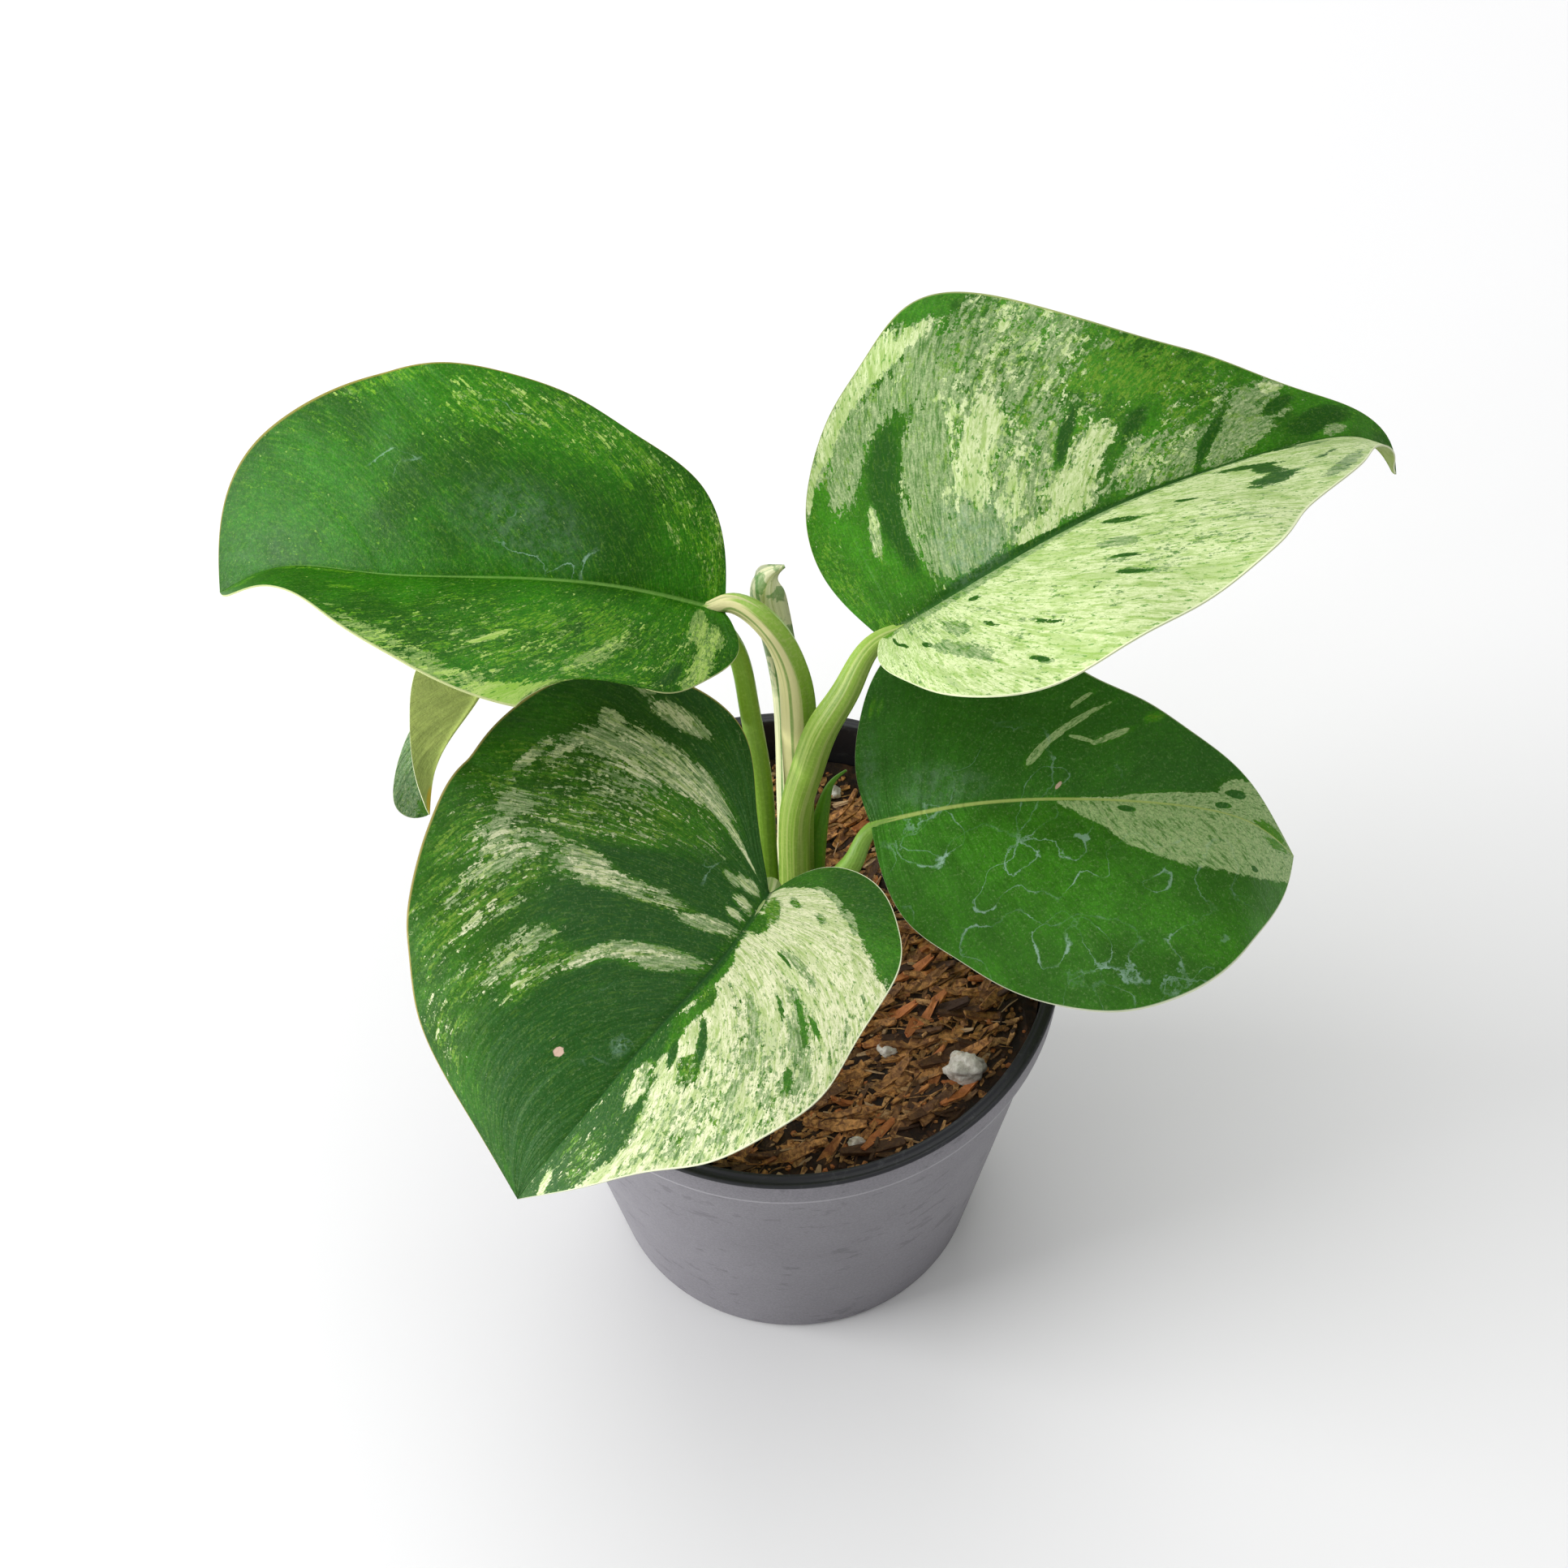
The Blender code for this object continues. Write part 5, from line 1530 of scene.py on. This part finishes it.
class PotRecipe(Recipe):
    """A pot: a wall's profile turned round its axis, with a ring of drain holes cut out."""

    def __init__(self) -> None:
        """Builds the tree."""
        super().__init__("Pot")
        segments, path_radius, softness, holes, hole_radius, hole_circle, surface = self.ask(
            Segments="Int", Path_radius="Float", Edge_softness="Float", Drain_holes="Int",
            Drain_hole_radius="Float", Drain_hole_circle="Float", Surface="Material")
        profile = self.node("GeometryNodeMeshToCurve", {0: self.source()})
        profile = self.node("GeometryNodeFilletCurve", {
            "Curve": profile, "Count": FILLET_STEPS, "Radius": softness, "Limit Radius": True}, mode="POLY")
        path = self.node("GeometryNodeCurvePrimitiveCircle", {"Resolution": segments, "Radius": path_radius},
                         mode="RADIUS")
        wall = self.node("GeometryNodeCurveToMesh", {"Curve": path, "Profile Curve": profile, "Scale": 1.0})
        wall = self.node("GeometryNodeMergeByDistance", {"Geometry": wall, "Distance": WELD})
        cutter = self.node("GeometryNodeMeshCylinder",
                           {"Vertices": CUTTER_SIDES, "Radius": hole_radius, "Depth": CUTTER_DEPTH})
        ring = self.node("GeometryNodeMeshCircle", {"Vertices": holes, "Radius": hole_circle})
        cutters = self.node("GeometryNodeInstanceOnPoints", {"Points": ring, "Instance": cutter})
        cut = self.node("GeometryNodeMeshBoolean", {"Mesh 1": wall, "Mesh 2": cutters}, operation="DIFFERENCE")
        self.close(cut, surface)


@dataclass(frozen=True)
class Pot:
    """The round tapered nursery pot."""

    rim_radius: float = 60.0
    height: float = 107.0
    base_radius: float = 42.3
    collar_height: float = 9.0
    collar_step: float = 2.2
    wall: float = 1.6
    floor: float = 2.4
    lip_width: float = 3.0
    ridge_width: float = 0.7
    ridge_rise: float = 0.5
    edge_round: float = 1.6
    softness: float = 0.35
    segments: int = 160
    drain_holes: int = 6
    drain_radius: float = 4.5
    drain_circle: float = 29.0
    finish: PotFinish = PotFinish()

    @property
    def collar_foot(self) -> float:
        """The height of the collar's lower edge."""
        return self.height - self.collar_height

    @property
    def body_top(self) -> float:
        """The outer radius of the tapered body, right under the collar."""
        return self.rim_radius - self.collar_step

    @property
    def slope(self) -> float:
        """How much the body's radius grows for each millimetre of height."""
        return (self.body_top - self.base_radius) / self.collar_foot

    def profile(self) -> list[Point]:
        """Lays out the wall, from the middle of the floor up the inside and down the outside.

        Returns:
            The corners, each as radius and height.
        """
        lip = self.rim_radius - self.lip_width
        return [
            (0.0, self.floor),
            (self.base_radius - self.wall, self.floor),
            (self.body_top - self.wall, self.collar_foot - 2.0),
            (lip - 0.6, self.collar_foot - 0.5),
            (lip, self.height - 0.4),
            (lip, self.height + self.ridge_rise),
            (lip + self.ridge_width, self.height + self.ridge_rise),
            (lip + self.ridge_width + self.ridge_rise, self.height),
            (lip + 1.9, self.height - 0.25),
            (self.rim_radius - 0.5, self.height),
            (self.rim_radius, self.height - 0.6),
            (self.rim_radius - 0.5, self.collar_foot + 0.5),
            (self.rim_radius - 1.0, self.collar_foot),
            (self.body_top, self.collar_foot - 0.5),
            (self.base_radius + self.slope * self.edge_round, self.edge_round),
            (self.base_radius - 0.47, 0.47),
            (self.base_radius - self.edge_round, 0.0),
            (0.0, 0.0),
        ]

    def build(self) -> bpy.types.Object:
        """Makes the pot.

        Returns:
            The piece.
        """
        profile = [(radius - self.rim_radius, -height, 0.0) for radius, height in self.profile()]
        piece = PotRecipe().make(
            "nursery_pot", polyline("wall", profile), Segments=self.segments, Path_radius=self.rim_radius * MM,
            Edge_softness=self.softness * MM, Drain_holes=self.drain_holes, Drain_hole_radius=self.drain_radius * MM,
            Drain_hole_circle=self.drain_circle * MM, Surface=self.finish.dress(self))
        piece.data.shade_smooth()
        piece.data.set_sharp_from_angle(angle=math.radians(40.0))
        return settle(piece, "pot_plastic", "pot")


# Soil

# How many shapes each kind of loose bit comes in.
BIT_SHAPES = 6


class Draw(Enum):
    """A kind of random value: its type, and its place among the sockets of the Random Value node."""

    VECTOR = ("FLOAT_VECTOR", 0)
    NUMBER = ("FLOAT", 1)
    COUNT = ("INT", 2)


class ScatterRecipe(Recipe):
    """Loose bits strewn over a ground, each turned, sized and tinted at random."""

    def __init__(self) -> None:
        """Builds the tree."""
        super().__init__("Scatter")
        shapes, density, seed, smallest, largest, tilt, heading, sweep, surface = self.ask(
            Shapes="Collection", Density="Float", Seed="Int", Smallest="Float", Largest="Float", Tilt="Float",
            Heading="Float", Sweep="Float", Surface="Material")
        points = self.node("GeometryNodeDistributePointsOnFaces", {
            "Mesh": self.source(), "Density": density, "Seed": seed}, distribute_method="RANDOM")
        bits = self.node("GeometryNodeCollectionInfo", {
            "Collection": shapes, "Separate Children": True, "Reset Children": True})
        low = self.vector(tilt * -1.0, tilt * -1.0, heading - sweep)
        high = self.vector(tilt, tilt, heading + sweep)
        turn = self.node("FunctionNodeEulerToRotation", {0: self.draw(Draw.VECTOR, low, high, seed + 1.0)})
        size = self.draw(Draw.NUMBER, smallest, largest, seed + 2.0)
        pick = self.draw(Draw.COUNT, 0, BIT_SHAPES - 1, seed + 3.0)
        strewn = self.node("GeometryNodeInstanceOnPoints", {
            "Points": points, "Instance": bits, "Pick Instance": True, "Instance Index": pick, "Rotation": turn,
            "Scale": self.vector(size, size, size)})
        tint = self.draw(Draw.NUMBER, 0.0, 1.0, seed + 4.0)
        self.close(self.keep(strewn, "tint", tint, "FLOAT", "INSTANCE"), surface)

    def draw(self, kind: Draw, low: Flow | float, high: Flow | float, seed: Flow) -> Flow:
        """Draws a random value for each bit.

        Args:
            kind: What kind of value it is.
            low: The lowest that it can be.
            high: The highest that it can be.
            seed: The seed.

        Returns:
            The value.
        """
        data_type, place = kind.value
        return self.node("FunctionNodeRandomValue", {2 * place: low, 2 * place + 1: high, "Seed": seed}, place,
                         data_type=data_type)


def bit(name: str, made: bmesh.types.BMesh) -> bpy.types.Object:
    """Makes an object for a collection of loose bits.

    Args:
        name: The object's name.
        made: Its mesh in millimetres, which is used up.

    Returns:
        The object.
    """
    for vertex in made.verts:
        vertex.co *= MM
    bmesh.ops.recalc_face_normals(made, faces=made.faces)
    return bpy.data.objects.new(name, harden(name, made))


def chip(number: int) -> bpy.types.Object:
    """A flat splinter of bark, bent and torn at its ends.

    Args:
        number: Which of its shapes is made.

    Returns:
        The bit.
    """
    draw = random.Random(100 + number)
    length, width, height = draw.uniform(8.0, 15.0), draw.uniform(2.0, 4.6), draw.uniform(0.9, 1.8)
    arch, skew = draw.uniform(-0.03, 0.04), draw.uniform(-0.25, 0.25)
    made = bmesh.new()
    bmesh.ops.create_cube(made, size=1.0)
    bmesh.ops.subdivide_edges(made, edges=made.edges[:], cuts=1, use_grid_fill=True)
    for vertex in made.verts:
        x, y, z = vertex.co
        pinch = 1.0 - 0.5 * abs(2 * x) ** 2
        along = x * length + draw.uniform(-0.6, 0.6)
        vertex.co = Vector((along, y * width * pinch + skew * along + draw.uniform(-0.3, 0.3),
                            z * height * pinch + arch * along**2 + draw.uniform(-0.15, 0.15)))
    return bit(f"chip_{number}", made)


def strand(number: int) -> bpy.types.Object:
    """A thin curled thread of coir.

    Args:
        number: Which of its shapes is made.

    Returns:
        The bit.
    """
    draw = random.Random(200 + number)
    length, radius = draw.uniform(7.0, 14.0), draw.uniform(0.16, 0.34)
    bend, rise = draw.uniform(-0.09, 0.09), draw.uniform(0.4, 1.6)
    sides, steps = 4, 7
    made = bmesh.new()
    rings = []
    for step in range(steps + 1):
        share = step / steps
        x = (share - 0.5) * length
        middle = Vector((x, bend * x**2, rise * math.sin(math.pi * share * draw.uniform(0.9, 1.1))))
        girth = radius * (1.15 - abs(share - 0.5))
        rings.append([made.verts.new(middle + Vector((0.0, math.cos(turn) * girth, math.sin(turn) * girth)))
                      for turn in (2 * math.pi * side / sides for side in range(sides))])
    join_rings(made, rings)
    made.faces.new(rings[0])
    made.faces.new(rings[-1])
    return bit(f"strand_{number}", made)


def crumb(number: int) -> bpy.types.Object:
    """A rough little lump.

    Args:
        number: Which of its shapes is made.

    Returns:
        The bit.
    """
    draw = random.Random(300 + number)
    made = bmesh.new()
    bmesh.ops.create_icosphere(made, subdivisions=1, radius=1.0)
    for vertex in made.verts:
        vertex.co = Vector((vertex.co.x * draw.uniform(0.7, 1.5), vertex.co.y * draw.uniform(0.6, 1.1),
                            vertex.co.z * draw.uniform(0.5, 0.9)))
    return bit(f"crumb_{number}", made)


@dataclass(frozen=True)
class Litter:
    """One kind of loose bit on the soil.

    The density is in bits for each square metre, and smallest and largest are scales. The tilt
    is how far a bit leans and the sweep how far it swings round, in radians. Clear is how far
    its middle stays from the pot's wall, in millimetres.
    """

    name: str
    shape: Callable[[int], bpy.types.Object]
    density: float
    smallest: float
    largest: float
    tilt: float
    sweep: float
    seed: int
    slot: str
    finish: GrainFinish
    clear: float = 0.0


@dataclass(frozen=True)
class Soil:
    """Bark and coir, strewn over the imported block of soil, with grains of perlite."""

    reach: float = 54.4
    crown_centre: Point = (2.3, 11.5)
    crown_clear: float = 9.0
    heading: float = 0.5
    level: float = 94.0
    above: float = 200.0
    rings: int = 30
    around: int = 96
    # The packed soil is its own dark brown, painted near black so that the gaps between the loose bits carry painted
    # shade.
    bed: GrainFinish = GrainFinish("soil_bed", (0.010, 0.005, 0.003), (0.045, 0.020, 0.009), (0.10, 0.04, 0.015),
                                   tinted=False)
    bark: GrainFinish = GrainFinish("bark", (0.15, 0.052, 0.014), (0.78, 0.37, 0.11), (0.56, 0.17, 0.045), 700.0, 0.6)
    coir: GrainFinish = GrainFinish("coir", (0.21, 0.085, 0.022), (0.78, 0.43, 0.16), (0.72, 0.50, 0.30), 900.0, 0.6)
    white: GrainFinish = GrainFinish("perlite_white", (0.60, 0.55, 0.49), (0.93, 0.89, 0.84), (0.62, 0.48, 0.36),
                                     700.0, 0.9, False)

    def ground(self, clear: float) -> bpy.types.Object:
        """A patch that lies on the top of the packed soil, clear of the crown and the wall.

        Args:
            clear: How far it stays from the wall.

        Returns:
            The patch.
        """
        packed = frame["nodes"]["soil"].data
        tree = BVHTree.FromPolygons([vertex.co for vertex in packed.vertices],
                                    [tuple(face.vertices) for face in packed.polygons])
        made = bmesh.new()
        grid = []
        for ring in range(1, self.rings + 1):
            radius = (self.reach - clear) * ring / self.rings * MM
            row = []
            for step in range(self.around):
                angle = 2 * math.pi * step / self.around
                x, y = radius * math.cos(angle), radius * math.sin(angle)
                hit = tree.ray_cast(Vector((x, y, self.above * MM)), Vector((0.0, 0.0, -1.0)))[0]
                row.append(made.verts.new((x, y, hit.z if hit else self.level * MM)))
            grid.append(row)
        for inner, outer in zip(grid, grid[1:]):
            for step in range(self.around):
                after = (step + 1) % self.around
                face = (inner[step], outer[step], outer[after], inner[after])
                middle = sum((vertex.co for vertex in face), Vector()) / 4
                away = math.hypot(middle.x / MM - self.crown_centre[0], middle.y / MM - self.crown_centre[1])
                if away > self.crown_clear:
                    made.faces.new(face)
        return add_object("ground", harden("ground", made))

    def litter(self) -> tuple[Litter, ...]:
        """Lists what is strewn over the bed.

        Returns:
            The kinds of loose bits.
        """
        return (
            Litter("bark_chips", chip, 82000.0, 0.35, 0.95, 0.32, 0.6, 11, "soil", self.bark, 5.0),
            Litter("bark_splinters", chip, 120000.0, 0.18, 0.45, 0.4, 0.9, 17, "soil", self.coir, 2.0),
            Litter("coir_strands", strand, 50000.0, 0.5, 1.1, 0.2, 0.9, 21, "soil", self.coir, 4.0),
            Litter("soil_crumbs", crumb, 130000.0, 0.35, 1.1, 0.6, 3.1, 31, "soil", self.bark),
            Litter("perlite_crumbs", crumb, 1300.0, 0.4, 0.9, 0.6, 3.1, 41, "perlite", self.white),
        )

    def build(self) -> None:
        """Dresses the packed soil and strews the litter over it."""
        bed = frame["nodes"]["soil"]
        # The bed's near-black colour is partly painted shade for the gaps between the bits.
        bed.material_slots[0].material = self.bed.dress()
        recipe = ScatterRecipe()
        for kind in self.litter():
            shapes = bpy.data.collections.new(kind.name)
            bpy.context.scene.collection.children.link(shapes)
            for number in range(BIT_SHAPES):
                shapes.objects.link(kind.shape(number))
            piece = recipe.make(kind.name, self.ground(kind.clear), Shapes=shapes, Density=kind.density,
                                Seed=kind.seed, Smallest=kind.smallest, Largest=kind.largest, Tilt=kind.tilt,
                                Heading=self.heading, Sweep=kind.sweep, Surface=kind.finish.dress())
            for shape in list(shapes.objects):
                bpy.data.objects.remove(shape, do_unlink=True)
            bpy.data.collections.remove(shapes)
            settle(piece, kind.slot)


@dataclass(frozen=True)
class Grain:
    """A grain of perlite, half sunk in the soil."""

    name: str
    node: str
    place: Point
    radius: float
    level: float = 94.0

    def build(self, surface: bpy.types.Material) -> bpy.types.Object:
        """Makes the grain: a lumpy, pitted ball.

        Args:
            surface: Its material.

        Returns:
            The piece.
        """
        made = bmesh.new()
        bmesh.ops.create_icosphere(made, subdivisions=4, radius=1.0)
        middle = Vector((*self.place, self.level + 0.6 * self.radius))
        for vertex in made.verts:
            way = vertex.co.copy()
            lumps = 0.42 * noise.noise(way * 1.3 + middle) + 0.16 * noise.noise(way * 3.5 + middle)
            reach = self.radius * (1.0 + lumps + 0.05 * noise.noise(way * 11.0 + middle))
            vertex.co = (middle + Vector((way.x * 1.1, way.y * 0.95, way.z * 0.85)) * reach) * MM
        mesh = harden(self.name, made)
        mesh.materials.append(surface)
        mesh.shade_smooth()
        return settle(add_object(self.name, mesh), "perlite", self.node)


GRAINS = (
    Grain("grain_large", "perlite_large", (37.8, -26.8), 3.6),
    Grain("grain_left", "perlite_left", (21.0, -21.5), 1.8),
    Grain("grain_front", "perlite_front", (13.5, -44.0), 1.7),
    Grain("grain_back", "perlite_back", (11.4, 45.5), 1.6),
)


@dataclass(frozen=True)
class Crown:
    """The short knobbly stem that the stalks grow from, with a few papery scales.

    The dome is the height of its rounded top, which starts at the shoulder, a share of the
    rings. Each scale is its side of the stem in degrees, how far out it stands, its height and
    half its width.
    """

    centre: Point = (2.3, 11.5)
    radius: float = 8.8
    top: float = 97.6
    length: float = 13.0
    dome: float = 1.5
    shoulder: float = 0.7
    rings: int = 40
    around: int = 72
    finish: GrainFinish = GrainFinish("crown_bark", (0.10, 0.09, 0.03), (0.30, 0.30, 0.11), (0.36, 0.28, 0.14), 420.0,
                                      0.7, False)
    scale_finish: StalkFinish = StalkFinish("papery_scale", green=(0.52, 0.44, 0.28), pale=(0.70, 0.62, 0.46),
                                            dark=(0.30, 0.20, 0.10), pale_level=0.2, roughness=0.6)
    scales: tuple[Point, ...] = ((-95.0, 7.6, 12.0, 3.6), (-150.0, 8.2, 15.0, 3.2), (35.0, 8.0, 10.0, 3.4),
                                 (120.0, 8.2, 13.0, 3.8))

    def build(self) -> None:
        """Makes the stem and its scales."""
        made = bmesh.new()
        rows = []
        for ring in range(self.rings + 1):
            share = ring / self.rings
            if share < self.shoulder:
                height = self.top - self.length + share / self.shoulder * (self.length - self.dome)
                reach = self.radius
            else:
                turn = (share - self.shoulder) / (1.0 - self.shoulder) * math.pi / 2
                height = self.top - self.dome + self.dome * math.sin(turn)
                reach = self.radius * math.cos(turn) + 0.02
            row = []
            for step in range(self.around):
                angle = 2 * math.pi * step / self.around
                way = Vector((math.cos(angle), math.sin(angle), height * 0.35))
                lump = 1.0 + 0.05 * noise.noise(way * 2.2) + 0.02 * math.sin(height * 2.4)
                row.append(made.verts.new(Vector((self.centre[0] + reach * lump * math.cos(angle),
                                                  self.centre[1] + reach * lump * math.sin(angle), height)) * MM))
            rows.append(row)
        join_rings(made, rows)
        made.faces.new(reversed(rows[0]))
        made.faces.new(rows[-1])
        mesh = harden("crown_stem", made)
        mesh.materials.append(self.finish.dress())
        mesh.shade_smooth()
        mesh.set_sharp_from_angle(angle=math.radians(50.0))
        settle(add_object("crown_stem", mesh), "crown", "crown")
        surface = self.scale_finish.dress()
        for number, (angle, reach, tall, wide) in enumerate(self.scales, 1):
            settle(self.scale(f"papery_scale_{number}", math.radians(angle), reach, tall, wide, surface), "crown")

    def scale(self, name: str, angle: float, reach: float, tall: float, wide: float,
              surface: bpy.types.Material) -> bpy.types.Object:
        """A thin pointed scale that leans off the stem.

        Args:
            name: The piece's name.
            angle: Which side of the stem it is on.
            reach: How far from the stem's middle it stands.
            tall: Its height.
            wide: Half its width at the foot.
            surface: Its material.

        Returns:
            The piece.
        """
        up_steps, side_steps = 18, 10
        mesh = bpy.data.meshes.new(name)
        corners, rings, alongs = [], [], []
        for up in range(up_steps + 1):
            share = up / up_steps
            width = wide * (1 - share**1.6) + 0.15
            for side in range(side_steps + 1):
                across = (side / side_steps * 2 - 1) * width
                turn = angle + across / reach
                ripple = 0.25 * noise.noise(Vector((across * 0.7, share * 4.0, angle)))
                out = reach + 0.6 * share + 1.4 * share**2 + ripple - 0.05 * across**2
                corners.append((self.centre[0] + out * math.cos(turn), self.centre[1] + out * math.sin(turn),
                                self.top - 3.5 + share * tall))
                rings.append((math.cos(across), math.sin(across), 0.0))
                alongs.append(share)
        wide_row = side_steps + 1
        faces = [(row * wide_row + side, row * wide_row + side + 1, (row + 1) * wide_row + side + 1,
                  (row + 1) * wide_row + side) for row in range(up_steps) for side in range(side_steps)]
        mesh.from_pydata([tuple(value * MM for value in corner) for corner in corners], [], faces)
        store(mesh, "ring", rings, "FLOAT_VECTOR")
        store(mesh, "along", alongs)
        mesh.materials.append(surface)
        mesh.shade_smooth()
        piece = add_object(name, mesh)
        skin = piece.modifiers.new("Thickness", "SOLIDIFY")
        skin.thickness = 0.25 * MM
        return piece


# Camera and studio


@dataclass(frozen=True)
class Viewpoint:
    """The camera, looking down at the front of the pot."""

    place: Point = (0.00041, -0.43219, 0.84324)
    right: Point = (0.99953891, -0.02555168, -0.01640389)
    up: Point = (0.03036406, 0.84112277, 0.53999122)
    lens: float = 90.0
    sensor: float = 36.0

    def build(self) -> None:
        """Makes the camera and gives it to the scene."""
        data = bpy.data.cameras.new("viewpoint")
        data.lens = self.lens
        data.sensor_width = self.sensor
        data.clip_start = 0.05
        data.clip_end = 20.0
        camera = add_object("viewpoint", data)
        right, up = Vector(self.right).normalized(), Vector(self.up)
        up = (up - right * up.dot(right)).normalized()
        turn = Matrix((right, up, right.cross(up))).transposed()
        camera.matrix_world = Matrix.Translation(self.place) @ turn.to_4x4()
        bpy.context.scene.camera = camera


@dataclass(frozen=True)
class Lamp:
    """A soft rectangular lamp, aimed at the plant."""

    name: str
    place: Point
    size: float
    power: float
    colour: Colour = (1.0, 1.0, 1.0)


@dataclass(frozen=True)
class Studio:
    """A plain pale floor and plain soft light."""

    lamps: tuple[Lamp, ...] = (
        Lamp("key", (-1.50, -0.16, 0.50), 1.0, 30.0),
        Lamp("top", (0.0, 0.15, 1.7), 1.5, 12.0),
        Lamp("back", (-0.1, 1.3, 1.3), 1.2, 8.0),
    )
    target: Point = (0.0, 0.0, 0.12)
    sky: float = 0.42
    floor_size: float = 14.0
    floor_colour: Colour = (0.86, 0.86, 0.865)

    def build(self) -> None:
        """Makes the floor, the lamps and the even light all round."""
        scene = bpy.context.scene
        scene.view_settings.view_transform = "Standard"
        world = bpy.data.worlds.new("even_light")
        world.use_nodes = True
        backdrop = world.node_tree.nodes["Background"]
        backdrop.inputs["Color"].default_value = (1.0, 1.0, 1.0, 1.0)
        backdrop.inputs["Strength"].default_value = self.sky
        scene.world = world
        for lamp in self.lamps:
            data = bpy.data.lights.new(lamp.name, "AREA")
            data.shape = "SQUARE"
            data.size = lamp.size
            data.energy = lamp.power
            data.color = lamp.colour
            light = add_object(lamp.name, data)
            light.location = lamp.place
            light.rotation_euler = (Vector(self.target) - Vector(lamp.place)).to_track_quat("-Z", "Y").to_euler()
        half = self.floor_size / 2
        mesh = bpy.data.meshes.new("floor")
        mesh.from_pydata([(-half, -half, 0.0), (half, -half, 0.0), (half, half, 0.0), (-half, half, 0.0)], [],
                         [(0, 1, 2, 3)])
        skin = Skin("pale_floor")
        cloud = skin.noise(skin.place(), 3.0, 3.0)
        skin.coat(Base_Color=skin.mix(cloud, self.floor_colour, shade(self.floor_colour, 0.99)), Roughness=0.8)
        mesh.materials.append(skin.material)
        add_object("floor", mesh)


def main() -> None:
    """Builds the scene piece by piece."""
    logging.basicConfig(level=logging.INFO, format="%(message)s")
    Viewpoint().build()
    Studio().build()
    Pot().build()
    Soil().build()
    surface = Soil().white.dress()
    for grain in GRAINS:
        grain.build(surface)
    Crown().build()
    for blade in BLADES:
        blade.build()
    blades = {blade.name: blade for blade in BLADES}
    recipe = StalkRecipe()
    for stalk in STALKS:
        stalk.build(recipe, blades)


if __name__ == "__main__":
    main()
